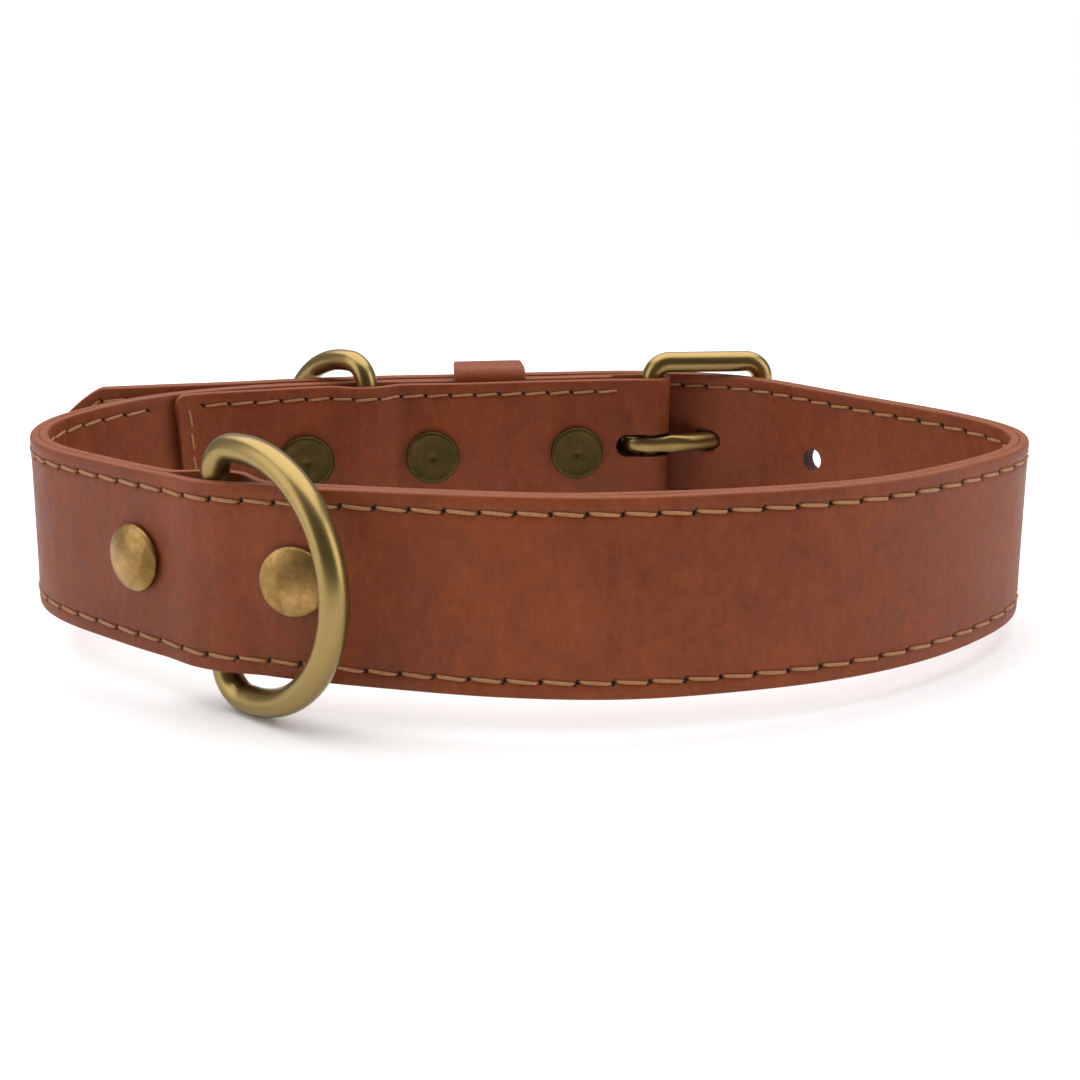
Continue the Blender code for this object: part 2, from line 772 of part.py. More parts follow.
def main():
    clear_scene()
    bpy.context.scene.unit_settings.system = "METRIC"
    strap = Strap()
    outer_leather = paint("outer_leather", (0.168, 0.037, 0.013), 0.5, 0)
    lining_leather = paint("lining_leather", (0.15, 0.036, 0.014), 0.6, 0)
    brass = paint("antique_brass", (0.29, 0.2, 0.07), 0.32, 1)
    rivet_brass = paint("rivet_brass", (0.25, 0.17, 0.06), 0.42, 1)
    outside = outer_strap(strap, outer_leather)
    inside = lining(strap, lining_leather)
    frame = buckle_frame(strap, brass)
    front_depth = (POCKET_SHARE - 0.5) * pocket(FRONT_RING_PLACE)
    front_ring = d_ring(
        strap,
        "front_ring",
        FRONT_RING_PLACE,
        front_depth,
        FRONT_RING_SWING,
        FRONT_RING_TILT,
        brass,
    )
    back_depth = -(FACE + BAR_PLAY + WIRE_RADIUS)
    back_ring = d_ring(
        strap, "back_ring", BACK_RING_PLACE, back_depth, BACK_RING_SWING, 0, brass
    )
    pieces = [
        outside,
        inside,
        keeper(strap, outer_leather),
        frame,
        buckle_tongue(strap, brass),
        front_ring,
        back_ring,
    ]
    for side, place in zip(("left", "right"), front_rivet_places()):
        pieces.append(front_rivet(strap, f"front_rivet_{side}", place, rivet_brass))
    for side, place in zip(("right", "middle", "left"), TAB_RIVETS):
        pieces.append(tab_rivet(strap, f"tab_rivet_{side}", place, rivet_brass))
    cutter = leather_punches(strap)
    punch(outside, cutter)
    punch(inside, cutter)
    root = bpy.data.objects.new("collar", None)
    bpy.context.scene.collection.objects.link(root)
    for piece in [*pieces, cutter]:
        piece.parent = root
    set_down(pieces, (front_ring, back_ring, frame), root)


main()
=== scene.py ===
"""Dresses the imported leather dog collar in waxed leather, sewn rows and antique brass."""

import json
import math
from collections import namedtuple

import bmesh
import bpy
import numpy as np
from bpy.props import FloatProperty, FloatVectorProperty, PointerProperty
from mathutils import Matrix, Vector


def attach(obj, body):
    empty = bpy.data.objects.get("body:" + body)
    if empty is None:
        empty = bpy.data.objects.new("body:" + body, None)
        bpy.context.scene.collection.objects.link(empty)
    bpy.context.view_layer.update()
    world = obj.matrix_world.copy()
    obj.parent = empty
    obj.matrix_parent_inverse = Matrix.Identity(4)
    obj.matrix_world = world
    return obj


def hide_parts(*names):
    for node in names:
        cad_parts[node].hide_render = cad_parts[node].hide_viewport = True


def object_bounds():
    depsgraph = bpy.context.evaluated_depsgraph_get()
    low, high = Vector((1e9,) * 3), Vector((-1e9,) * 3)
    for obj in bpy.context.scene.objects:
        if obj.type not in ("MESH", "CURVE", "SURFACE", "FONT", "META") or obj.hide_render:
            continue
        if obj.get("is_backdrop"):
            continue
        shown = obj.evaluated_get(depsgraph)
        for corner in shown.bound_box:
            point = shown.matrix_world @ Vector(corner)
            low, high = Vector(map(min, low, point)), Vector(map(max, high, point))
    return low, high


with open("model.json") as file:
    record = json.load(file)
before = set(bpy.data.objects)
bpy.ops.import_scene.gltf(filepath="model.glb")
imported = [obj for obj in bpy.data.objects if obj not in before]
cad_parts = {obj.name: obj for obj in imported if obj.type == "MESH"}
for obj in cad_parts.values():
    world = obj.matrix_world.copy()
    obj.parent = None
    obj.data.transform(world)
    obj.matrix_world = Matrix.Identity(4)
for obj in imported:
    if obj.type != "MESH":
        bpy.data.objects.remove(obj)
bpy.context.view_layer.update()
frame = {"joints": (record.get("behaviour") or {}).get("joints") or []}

bl_info = {
    "name": "Leather Dog Collar",
    "version": (1, 0, 0),
    "blender": (4, 5, 0),
    "location": "3D View > Sidebar > Collar",
    "description": "Makes the collar's leather, stitches, brass and studio round its packed frame",
    "category": "Add Mesh",
}

MM = 0.001
UP = np.array((0.0, 0.0, 1.0))

# The leather as it was cut and the hardware as it was bent, in metres, as the frame has them
LOOP_WIDTH = 0.1476
LOOP_DEPTH = 0.0849
STRAP_WIDTH = 0.025
MIDDLE = STRAP_WIDTH / 2
SEWN_GAP = 0.00002
LEATHER = 0.00125
LAYER_GAP = 0.0003
STRAP = 2 * LEATHER + LAYER_GAP
FACE = STRAP / 2
TAB_LENGTH = 0.088
TAB_CORNER = 0.002
FREE_END_LENGTH = 0.1125
POINT_LENGTH = 0.0125
POINT_POWER = 1.3
KEEPER_WIDTH = 0.013
HOLE_DIAMETER = 0.004
HOLE_SPACING = 0.0228
SPARE_HOLES = (-1, 1, 2, 3)
SLOT_LENGTH = 0.0073
SLOT_HEIGHT = 0.0043
WIRE_RADIUS = 0.0019
RING_HALF_HEIGHT = 0.0166
RING_STRAIGHT = 0.0012
RING_CORNER = 0.0043
BUCKLE_LENGTH = 0.0245
BUCKLE_HEIGHT = 0.034
BUCKLE_CORNER = 0.0052
TONGUE_WIRE = 0.0032
TONGUE_WIDTH = 0.0034
TONGUE_CURL = 0.0012
TONGUE_EYE = 0.0020
TONGUE_OVERHANG = 0.0022
CAP_DIAMETER = 0.0092
CAP_HEIGHT = 0.0013
HEAD_DIAMETER = 0.0082
HEAD_THICKNESS = 0.0008
TAB_HEAD_DIAMETER = 0.0097
TAB_HEAD_THICKNESS = 0.0009
SHANK_DIAMETER = 0.0034
TOUCH = 0.0003
SEAT = 0.0005
KEEPER_PLAY = 0.0004
KEEPER_HEADROOM = 0.0012
FOLD_RADIUS = WIRE_RADIUS + TOUCH
RIVET_ROOM = SEAT + HEAD_THICKNESS + TOUCH
TAB_RIVETS = (0.0145, 0.0410, 0.0647)
KEEPER_PLACE = 0.0302
BACK_RING_PLACE = 0.0526
FRONT_RING_PLACE = 0.1670
FRONT_RIVET_REACH = 0.01245
POCKET_FLAT = 0.0012
POCKET_RAMP = 0.0071
POCKET_SHARE = 0.20
FRONT_RIVET_LIFT = 0.0005
TAB_RIVET_DROP = 0.0009
FRONT_RING_SWING = 16.0
BACK_RING_SWING = 47.0
FRONT_RING_TILT = 2.5
RING_DROP = 0.0002
FRAME_SWING = -4.0
CROSSING_SWING = 42.0

# The seam's plan, from the fold round to the right of the buckle: shares of the loop's width and
# depth, and the top edge's lean as a share of the strap's width
PlanKnot = namedtuple("PlanKnot", ("across", "deep", "lean"))
PLAN = (
    PlanKnot(0.162, 1.000, 0.00),
    PlanKnot(0.062, 0.981, 0.00),
    PlanKnot(-0.060, 0.957, 0.00),
    PlanKnot(-0.210, 0.933, 0.00),
    PlanKnot(-0.319, 0.888, 0.00),
    PlanKnot(-0.390, 0.836, 0.00),
    PlanKnot(-0.441, 0.762, 0.00),
    PlanKnot(-0.478, 0.670, 0.01),
    PlanKnot(-0.498, 0.564, 0.02),
    PlanKnot(-0.495, 0.464, 0.05),
    PlanKnot(-0.464, 0.352, 0.09),
    PlanKnot(-0.3935, 0.248, 0.10),
    PlanKnot(-0.279, 0.123, 0.09),
    PlanKnot(-0.142, 0.050, 0.12),
    PlanKnot(0.056, 0.000, 0.15),
    PlanKnot(0.2055, 0.027, 0.13),
    PlanKnot(0.328, 0.094, 0.10),
    PlanKnot(0.430, 0.212, 0.09),
    PlanKnot(0.484, 0.320, 0.05),
    PlanKnot(0.498, 0.422, 0.02),
    PlanKnot(0.479, 0.530, 0.01),
    PlanKnot(0.436, 0.638, 0.00),
    PlanKnot(0.359, 0.803, 0.00),
)
FreeEndKnot = namedtuple("FreeEndKnot", ("along", "standoff"))
FREE_END = (
    FreeEndKnot(0.10, 0.01),
    FreeEndKnot(0.27, 0.00),
    FreeEndKnot(0.47, 0.00),
    FreeEndKnot(0.62, 0.02),
    FreeEndKnot(0.74, 0.13),
)

# Relief of the leather: the roll beside a cut edge, the groove, pits and lips of a sewn row, the
# seats of the rivets and the wander of a hand-cut edge
ROLL_PLACE = 1.0 * MM
ROLL_WIDTH = 0.55 * MM
ROLL_HEIGHT = 0.05 * MM
GROOVE_WIDTH = 0.5 * MM
PIT_DEPTH = 0.42 * MM
LIP_REACH = 0.5 * MM
LIP_WIDTH = 0.45 * MM
LIP_HEIGHT = 0.07 * MM
SEAT_FADE = 3.2 * MM
SEAT_PUSH = 0.22 * MM
LINING_SEAT_PUSH = 0.2 * MM
WANDER = 0.10 * MM
EDGE_SEED = 3
WANDER_SPANS = (0.021, 0.034, 0.057, 0.083)
FLESH_FILLET = 0.11 * MM
PORE_SPACING = 0.62 * MM

# A stitch starts one share of its thread's thickness deep in its hole and rises by the other;
# then how many points its course has, and how many sides threads, wires and turned pieces have
STITCH_DIVE = 0.75
STITCH_RISE = 0.92
STITCH_POINTS = 11
THREAD_SIDES = 8
WIRE_SIDES = 28
TURNED_SIDES = 64

# Distances in millimetres from the strap's lower edge at which its leather has points, closer
# along the sewn row, and the distance between its cross-sections
ROW_STEPS = (0.7, 1.05, 1.35, 1.6, 1.8, 1.97, 2.13, 2.3, 2.47, 2.67, 2.95, 3.35, 4.0)
FIELD_STEPS = tuple(np.linspace(5.0, 20.0, 16))
STATION_STEP = 0.00038


def linear(code):
    """Linear RGB from an sRGB hex value."""
    shares = [int(code[i : i + 2], 16) / 255 for i in (0, 2, 4)]
    return tuple(s / 12.92 if s <= 0.04045 else ((s + 0.055) / 1.055) ** 2.4 for s in shares)


def length(name, description, default):
    return FloatProperty(
        name=name, description=description, default=default, min=0, unit="LENGTH", precision=5
    )


def colour(name, description, code):
    return FloatVectorProperty(
        name=name, description=description, default=linear(code), size=3, subtype="COLOR"
    )


class CollarSewing(bpy.types.PropertyGroup):
    pitch: length("Pitch", "Distance between two needle holes", 0.00445)
    inset: length("Inset", "Distance of a sewn row from the cut edge", 0.00213)
    thread: length("Thread", "Thickness of the waxed thread", 0.00050)
    hole: length("Needle hole", "Length of one awl hole along the row", 0.00088)
    groove: length("Groove", "How deep the thread pulls the row into the leather", 0.00014)
    slant: length("Slant", "How far a stitch climbs from its first hole to its next", 0.00030)


class CollarFinish(bpy.types.PropertyGroup):
    leather: colour("Leather", "Waxed grain side, lighter patches", "8D451F")
    leather_deep: colour("Deep leather", "Waxed grain side, where the dye sank in", "60290F")
    cut_edge: colour("Cut edge", "Raw edge of the leather", "6D3E21")
    # Painted shade: the dark colour painted into the needle holes and onto the walls of punched
    # holes
    pit_shade: colour("Hole", "Inside a needle hole", "1E0D06")
    thread: colour("Thread", "Waxed polyester thread", "AC7648")
    brass: colour("Brass", "Rubbed high spots of the antique brass", "AA9F66")
    patina: colour("Patina", "Dark oxide of the antique brass", "3F3C1D")
    cap: colour("Rivet cap", "Brushed antique brass of the caps", "B8935C")
    cap_patina: colour("Rivet patina", "Oxide on the caps", "74592F")
    # Painted shade: the tab's rivet heads get a darker brass, standing in for the dim surroundings
    # they reflect from the inner wall
    head: colour("Rivet head", "Darker oxide of the tab's rivets", "5A472A")
    floor: colour("Floor", "Matt paper under the collar", "FAFAFA")
    edge_round: length("Edge rounding", "Radius of the slicked edge", 0.00030)


class CollarStudio(bpy.types.PropertyGroup):
    lens: FloatProperty(
        name="Lens", description="Focal length on a 36 mm sensor", default=39.33, min=1
    )
    pitch: FloatProperty(
        name="Pitch",
        description="How far the camera looks down",
        default=math.radians(17.91),
        subtype="ANGLE",
    )
    roll: FloatProperty(
        name="Roll", description="The camera's turn", default=math.radians(0.333), subtype="ANGLE"
    )
    side_light: FloatProperty(
        name="Side light", description="Power of each side softbox", default=2.6, unit="POWER"
    )
    top_light: FloatProperty(
        name="Top light", description="Power of the overhead softbox", default=21.0, unit="POWER"
    )
    sky: FloatProperty(
        name="Fill", description="Strength of the room's white walls", default=0.34, min=0
    )


class Path:
    """A smooth curve through knots of any number of columns, read by distance along its plan."""

    def __init__(self, knots, samples=48):
        knots = np.array(knots, float)
        chord = np.linalg.norm(np.diff(knots[:, :2], axis=0), axis=1)
        at = np.concatenate([[0], np.cumsum(chord)])
        bend = self.second_derivatives(knots, at)
        share = (np.arange(samples) / samples)[:, None]
        rest = 1 - share
        rows = []
        for i, span in enumerate(chord):
            rows.append(
                rest * knots[i]
                + share * knots[i + 1]
                + ((rest**3 - rest) * bend[i] + (share**3 - share) * bend[i + 1]) * span**2 / 6
            )
        self.rows = np.concatenate([*rows, knots[-1:]])
        steps = np.linalg.norm(np.diff(self.rows[:, :2], axis=0), axis=1)
        self.distance = np.concatenate([[0], np.cumsum(steps)])
        self.length = float(self.distance[-1])
        self.slope = np.gradient(self.rows[:, :2], self.distance, axis=0)
        self.knot_places = self.distance[::samples]

    @staticmethod
    def second_derivatives(knots, at):
        count = len(knots)
        matrix = np.eye(count)
        right = np.zeros_like(knots)
        for i in range(1, count - 1):
            before = at[i] - at[i - 1]
            after = at[i + 1] - at[i]
            matrix[i, i - 1 : i + 2] = (before, 2 * (before + after), after)
            right[i] = 6 * ((knots[i + 1] - knots[i]) / after - (knots[i] - knots[i - 1]) / before)
        return np.linalg.solve(matrix, right)

    def read(self, places):
        """The columns at each place, and the unit direction of travel in plan."""
        rows = interpolate(places, self.distance, self.rows)
        ahead = interpolate(places, self.distance, self.slope)
        return rows, unit(ahead)


def interpolate(places, at, rows):
    return np.stack([np.interp(places, at, column) for column in rows.T], axis=-1)


def outward(ahead):
    """The loop's outward normal, to the right of the direction of travel from the heel bar."""
    ahead = np.asarray(ahead)
    return np.stack([ahead[..., 1], -ahead[..., 0], np.zeros(ahead.shape[:-1])], axis=-1)


def unit(vectors):
    vectors = np.asarray(vectors, float)
    return vectors / np.linalg.norm(vectors, axis=-1, keepdims=True)


def spin(vector, degrees):
    """A level vector turned about Z."""
    return np.array(Matrix.Rotation(math.radians(degrees), 3, "Z") @ Vector(vector))


class Strap:
    """The seam's whole course, and every place that is measured from it."""

    def __init__(self):
        loop = [
            (knot.across * LOOP_WIDTH, knot.deep * LOOP_DEPTH, knot.lean * STRAP_WIDTH)
            for knot in PLAN
        ]
        under = Path(loop)
        start, ahead = under.read(0)
        normal = outward(ahead)
        self.bar = np.array((start[0], start[1], 0)) + normal * (LAYER_GAP / 2 - FOLD_RADIUS)
        self.frame_along = spin((-ahead[0], -ahead[1], 0), FRAME_SWING)
        self.frame_normal = spin(normal, FRAME_SWING)
        self.far_wire = self.bar + self.frame_along * (BUCKLE_LENGTH - 2 * WIRE_RADIUS)
        crossing = spin(self.frame_normal, -CROSSING_SWING)
        below_wire = self.far_wire - crossing * (WIRE_RADIUS + TOUCH + FACE)
        over_bar = self.bar + normal * (FOLD_RADIUS + LEATHER + TOUCH + FACE)
        knots = loop + [(*below_wire[:2], 0), (*over_bar[:2], 0)]
        for knot in FREE_END:
            row, ahead = under.read(knot.along * FREE_END_LENGTH)
            off = STRAP + RIVET_ROOM + knot.standoff * STRAP_WIDTH
            knots.append((*(row[:2] + outward(ahead)[:2] * off), 0))
        self.path = Path(knots)
        self.bar_crossing = float(self.path.knot_places[len(loop) + 1])
        self.tip = self.bar_crossing + FREE_END_LENGTH
        self.hole = self.tongue_hole()
        self.matrix = self.stand()

    def lines(self, places):
        """For each place: the wall's foot at the seam, the way out and the way up the wall."""
        places = np.asarray(places, float)
        inside = np.minimum(places, self.path.length)
        rows, ahead = self.path.read(inside)
        foot = np.zeros((*places.shape, 3))
        foot[..., :2] = rows[..., :2] + ahead * (places - inside)[..., None]
        out = outward(ahead)
        lean = rows[..., 2:3] / STRAP_WIDTH
        return foot + out * lean * MIDDLE, out, UP - out * lean

    def wall(self, place, height, depth):
        foot, out, rise = self.lines(place)
        return foot + out * depth + rise * height

    def frame_at(self, place):
        """The directions along the strap, out of it and up its leaning wall."""
        _, out, rise = self.lines(place)
        rise = unit(rise)
        along = np.array((-out[1], out[0], 0))
        return along, np.cross(along, rise), rise

    def tongue_line(self):
        """Where the tongue leaves the heel bar, and where it comes to rest over the far wire."""
        under = FOLD_RADIUS + TONGUE_CURL / 2
        over = WIRE_RADIUS + TOUCH + TONGUE_WIRE / 2
        slope = math.asin((under + over) / (BUCKLE_LENGTH - 2 * WIRE_RADIUS))
        out = spin(self.frame_normal, math.degrees(slope))
        return self.bar - out * under, self.far_wire + out * over

    def tongue_hole(self):
        root, rest = self.tongue_line()
        side = np.cross(rest - root, UP)
        places = np.linspace(self.bar_crossing - BUCKLE_LENGTH, self.bar_crossing, 400)
        foot = self.path.read(places)[0][:, :2]
        off = np.abs((foot - root[:2]) @ side[:2])
        return float(places[int(np.argmin(off))])

    def ring_spot(self, name):
        if name == "front_ring":
            depth = (POCKET_SHARE - 0.5) * float(pocket(FRONT_RING_PLACE))
            return self.wall(FRONT_RING_PLACE, MIDDLE - RING_DROP, depth)
        return self.wall(BACK_RING_PLACE, MIDDLE - RING_DROP, -(FACE + TOUCH + WIRE_RADIUS))

    def stand(self):
        """The turn and the move that take the level collar to where the frame's hinges have it."""
        hinge = {joint["child"]: joint for joint in frame["joints"]}
        world_up = unit(hinge["back_ring"]["axis"])
        front, back = [np.array(hinge[name]["pos_m"]) for name in ("front_ring", "back_ring")]
        here = self.ring_spot("front_ring") - self.ring_spot("back_ring")
        there = front - back
        local = basis(here - UP * here[2], UP)
        world = basis(there - world_up * (there @ world_up), world_up)
        turn = world @ local.T
        middle = (self.ring_spot("front_ring") + self.ring_spot("back_ring")) / 2
        matrix = Matrix(turn.tolist()).to_4x4()
        matrix.translation = Vector((front + back) / 2 - turn @ middle)
        return matrix


def basis(ahead, up):
    """Columns of the turn whose first axis is ahead and whose third is up."""
    ahead = unit(ahead)
    return np.stack([ahead, np.cross(up, ahead), up], axis=1)


def smooth_step(value):
    share = np.clip(value, 0, 1)
    return share * share * (3 - 2 * share)


def pocket(places):
    """How much further apart the layers stand round the front ring's bar."""
    reach = np.abs(np.asarray(places) - FRONT_RING_PLACE) - POCKET_FLAT
    return (2 * (WIRE_RADIUS + TOUCH) - LAYER_GAP) * (1 - smooth_step(reach / POCKET_RAMP))


def tab_depth(places):
    """How far inside the seam the tab's hidden face lies."""
    bar = FACE + 2 * WIRE_RADIUS + 2 * TOUCH
    keeper = FACE + LEATHER + 2 * KEEPER_PLAY
    head = TAB_HEAD_DIAMETER / 2
    knots = (
        (0.0, 2 * FOLD_RADIUS - LAYER_GAP / 2),
        (TAB_RIVETS[0] - head, keeper),
        (TAB_RIVETS[1] + head, keeper),
        (BACK_RING_PLACE - POCKET_FLAT, bar),
        (BACK_RING_PLACE + POCKET_FLAT, bar),
        (TAB_RIVETS[2] - head, keeper),
        (TAB_RIVETS[2] + head, keeper),
        (TAB_LENGTH, FACE + 2 * TOUCH),
    )
    places = np.asarray(places, float)
    depth = np.full(places.shape, knots[-1][1])
    for (low, first), (high, second) in reversed(list(zip(knots, knots[1:]))):
        blend = first + (second - first) * smooth_step((places - low) / (high - low))
        depth = np.where(places <= high, blend, depth)
    return depth


def front_rivet_places():
    return (FRONT_RING_PLACE - FRONT_RIVET_REACH, FRONT_RING_PLACE + FRONT_RIVET_REACH)


class Layer:
    """One layer of leather as a row of stations: a foot, the way through it and the way up it.

    Its runs give the first station and the places along the strap of the loop and of the tab.
    """

    def __init__(self, foot, out, rise, half_width, runs):
        self.foot = foot
        self.out = out
        self.rise = rise
        self.half_width = half_width
        self.runs = runs
        middle = foot + rise * MIDDLE + out * LEATHER
        steps = np.linalg.norm(np.diff(middle, axis=0), axis=1)
        self.along = np.concatenate([[0], np.cumsum(steps)])

    def at(self, along, height, depth):
        """A point by distance along the layer, height over its edge and depth through it."""
        foot, out, rise = [
            interpolate(along, self.along, rows) for rows in (self.foot, self.out, self.rise)
        ]
        return foot + out * np.asarray(depth)[..., None] + rise * np.asarray(height)[..., None]

    def width_at(self, along):
        return np.interp(along, self.along, self.half_width)

    def along_at(self, run, place):
        """Distance along the layer of a place of one of its runs."""
        first, places = self.runs[run]
        order = np.argsort(places)
        here = self.along[first : first + len(places)]
        return float(np.interp(place, places[order], here[order]))


def point_half_width(strap, places):
    """Half the strap's width, which runs out in a rounded point at the free end."""
    share = np.clip((places - (strap.tip - POINT_LENGTH)) / POINT_LENGTH, 0, 0.992)
    return MIDDLE * (1 - share**POINT_POWER) ** (1 / POINT_POWER)


def tab_half_width(places):
    inside = np.clip(TAB_LENGTH - places, 0, TAB_CORNER)
    return MIDDLE - TAB_CORNER + np.sqrt(TAB_CORNER**2 - (TAB_CORNER - inside) ** 2)


def outer_layer(strap):
    """The outer leather from its point round the loop, the fold and the tab."""
    loop_places = np.arange(strap.tip, 0, -STATION_STEP)
    foot, out, rise = strap.lines(loop_places)
    off_seam = SEWN_GAP + POCKET_SHARE * pocket(loop_places)
    rows = [(foot + out * off_seam[:, None], out, rise)]
    widths = [point_half_width(strap, loop_places)]
    _, start_out, _ = strap.lines(0)
    along = np.array((-start_out[1], start_out[0], 0))
    angles = np.linspace(0, math.pi, 26)[1:-1]
    turned = start_out * np.cos(angles)[:, None] - along * np.sin(angles)[:, None]
    near = np.interp(angles, (0, 0.5), (FOLD_RADIUS - LAYER_GAP / 2 + SEWN_GAP, FOLD_RADIUS))
    rows.append((strap.bar + turned * near[:, None], turned, np.broadcast_to(UP, turned.shape)))
    widths.append(np.full(len(angles), MIDDLE))
    tab_places = np.append(np.arange(0, TAB_LENGTH, STATION_STEP), TAB_LENGTH)
    foot, out, rise = strap.lines(tab_places)
    rows.append((foot - out * tab_depth(tab_places)[:, None], -out, rise))
    runs = {"loop": (0, loop_places), "tab": (len(widths[0]) + len(widths[1]), tab_places)}
    widths.append(tab_half_width(tab_places))
    foot, out, rise = [np.concatenate(column) for column in zip(*rows)]
    return Layer(foot, out, rise, np.concatenate(widths), runs)


def lining_layer(strap):
    """The inner leather from behind the slot to the point."""
    places = np.append(np.arange(SLOT_LENGTH, strap.tip, STATION_STEP), strap.tip)
    foot, out, rise = strap.lines(places)
    off_seam = SEWN_GAP + (1 - POCKET_SHARE) * pocket(places)
    return Layer(
        foot - out * off_seam[:, None],
        -out,
        rise,
        point_half_width(strap, places),
        {"loop": (0, places)},
    )


Row = namedtuple("Row", ("start", "end", "side", "phase", "climb"))
TOP, BOTTOM = 1, -1


def needle_holes(layer, row, sewing):
    """Distances along a layer of a row's needle holes, and their heights."""
    along = np.arange(row.start + row.phase * sewing.pitch, row.end, sewing.pitch)
    reach = layer.width_at(along) - sewing.inset
    keep = reach > 0.2 * MM
    along = along[keep]
    return along, MIDDLE + row.side * reach[keep]


def section_template(edge_round):
    """Across-and-through shares of one cross-section, with how far each point is cut edge."""
    low = [
        (FLESH_FILLET, 0, 1, 0),
        (FLESH_FILLET * 0.3, FLESH_FILLET * 0.3, 1, 0),
        (0, FLESH_FILLET, 1, 0),
        (-0.02 * MM, LEATHER / 2, 1, 0),
    ]
    for degrees in (0, 30, 60, 90):
        angle = math.radians(degrees)
        low.append(
            (
                edge_round * (1 - math.cos(angle)),
                LEATHER + edge_round * (math.sin(angle) - 1),
                1 - degrees / 90 * 0.9,
                degrees / 90,
            )
        )
    row = [(step * MM, LEATHER, 0, 1) for step in ROW_STEPS]
    field = [(step * MM, LEATHER, 0, 1) for step in FIELD_STEPS]
    mirrored = [(STRAP_WIDTH - h, d, e, f) for h, d, e, f in reversed(low + row)]
    back = [(STRAP_WIDTH * share, 0, 0, 0) for share in (0.75, 0.5, 0.25)]
    return np.array(low + row + field + mirrored + back)


def waviness(along, seed):
    """A slow hand-cut wander, from a few waves of unequal length."""
    draw = np.random.default_rng(seed)
    waves = np.zeros_like(along)
    for span in WANDER_SPANS:
        waves += np.sin(along / span * 2 * math.pi + draw.uniform(0, 6.28)) * draw.uniform(0.5, 1)
    return waves / len(WANDER_SPANS)


Seat = namedtuple("Seat", ("along", "height", "radius", "push"))


def front_seats(layer, radius, push):
    """Where the front rivets sit on a layer."""
    return [
        Seat(layer.along_at("loop", place), MIDDLE + FRONT_RIVET_LIFT, radius, push)
        for place in front_rivet_places()
    ]


def mark(piece, label, values):
    """Keeps a value for each point, for the leather's material."""
    attribute = piece.data.attributes.new(label, "FLOAT", "POINT")
    attribute.data.foreach_set("value", np.asarray(values, np.float32).reshape(-1))


def leather_mesh(name, layer, rows, seats, sewing, finish):
    """The leather with rounded edges, its sewn rows pulled in and its needle holes opened."""
    template = section_template(finish.edge_round)
    scale = (layer.half_width / MIDDLE)[:, None]
    heights = MIDDLE + (template[:, 0] - MIDDLE) * scale
    depths = np.broadcast_to(template[:, 1], heights.shape).copy()
    edge = np.broadcast_to(template[:, 2], heights.shape).copy()
    face = np.broadcast_to(template[:, 3], heights.shape)
    # Mask of the needle holes, where the leather's material paints shade
    pit_shade = np.zeros(heights.shape)
    along = layer.along[:, None]
    from_edge = np.minimum(heights, STRAP_WIDTH - heights) - (MIDDLE - layer.half_width)[:, None]
    relief = np.exp(-(((from_edge - ROLL_PLACE) / ROLL_WIDTH) ** 2)) * ROLL_HEIGHT * face
    for row in rows:
        holes, _ = needle_holes(layer, row, sewing)
        inside = smooth_step((along - row.start) / MM) * smooth_step((row.end - along) / MM)
        off = heights - (MIDDLE + row.side * (layer.half_width[:, None] - sewing.inset))
        nearest = holes[np.clip(np.searchsorted(holes, layer.along), 1, len(holes) - 1)]
        before = holes[np.clip(np.searchsorted(holes, layer.along) - 1, 0, len(holes) - 1)]
        closer = np.abs(before - layer.along) < np.abs(nearest - layer.along)
        step = (layer.along - np.where(closer, before, nearest))[:, None]
        groove = np.exp(-((off / GROOVE_WIDTH) ** 2)) * sewing.groove
        slanted = step * row.climb * 0.75 + off
        shape = np.exp(
            -((step / (sewing.hole * 0.42)) ** 4) - (slanted / (sewing.hole * 0.36)) ** 4
        )
        beside = (off + row.climb * 1.2 * LIP_REACH) / LIP_WIDTH
        lip = np.exp(-(((step - LIP_REACH) / LIP_REACH) ** 2) - beside**2)
        relief += (lip * LIP_HEIGHT - groove - shape * PIT_DEPTH) * inside * face
        pit_shade = np.maximum(pit_shade, shape * inside * face)
    for seat in seats:
        reach = np.hypot(along - seat.along, heights - seat.height)
        relief += seat.push * (1 - smooth_step((reach - seat.radius) / SEAT_FADE)) * face
    wander = waviness(layer.along, EDGE_SEED)[:, None] * WANDER
    heights = heights + wander * smooth_step((np.abs(heights - MIDDLE) - 8 * MM) / (4 * MM))
    depths = depths + relief
    points = (
        layer.foot[:, None]
        + layer.out[:, None] * depths[..., None]
        + layer.rise[:, None] * heights[..., None]
    )
    piece = grid_piece(name, points)
    mark(piece, "cut_edge", edge)
    mark(piece, "painted_pit_shade", pit_shade)
    return piece


def skin_faces(index, ring=False):
    """Faces over rows of point numbers; each row is a loop, and the rows may close too."""
    if ring:
        index = np.concatenate([index, index[:1]])
    across = np.roll(index, -1, axis=1)
    quads = np.stack([index[:-1], across[:-1], across[1:], index[1:]], axis=-1)
    ends = [] if ring else [index[0, ::-1].tolist(), index[-1].tolist()]
    return quads.reshape(-1, 4).tolist() + ends


def grid_piece(name, points, ring=False):
    """A closed skin over rows of points."""
    rows, columns = points.shape[:2]
    index = np.arange(rows * columns).reshape(rows, columns)
    return piece_from(name, points.reshape(-1, 3), skin_faces(index, ring))


def piece_from(name, points, faces):
    mesh = bpy.data.meshes.new(name)
    mesh.from_pydata(np.asarray(points).tolist(), [], faces)
    body = bmesh.new()
    body.from_mesh(mesh)
    bmesh.ops.recalc_face_normals(body, faces=body.faces)
    body.to_mesh(mesh)
    body.free()
    mesh.shade_smooth()
    piece = bpy.data.objects.new(name, mesh)
    bpy.context.scene.collection.objects.link(piece)
    return piece


def settle(piece, strap, body, slot, nodes, *materials):
    """Stands a piece in the frame, with its finish, its body and the nodes that it replaces."""
    piece.data.transform(strap.matrix)
    for material in materials:
        piece.data.materials.append(material)
    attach(piece, body)
    if nodes:
        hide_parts(*nodes)
    return piece


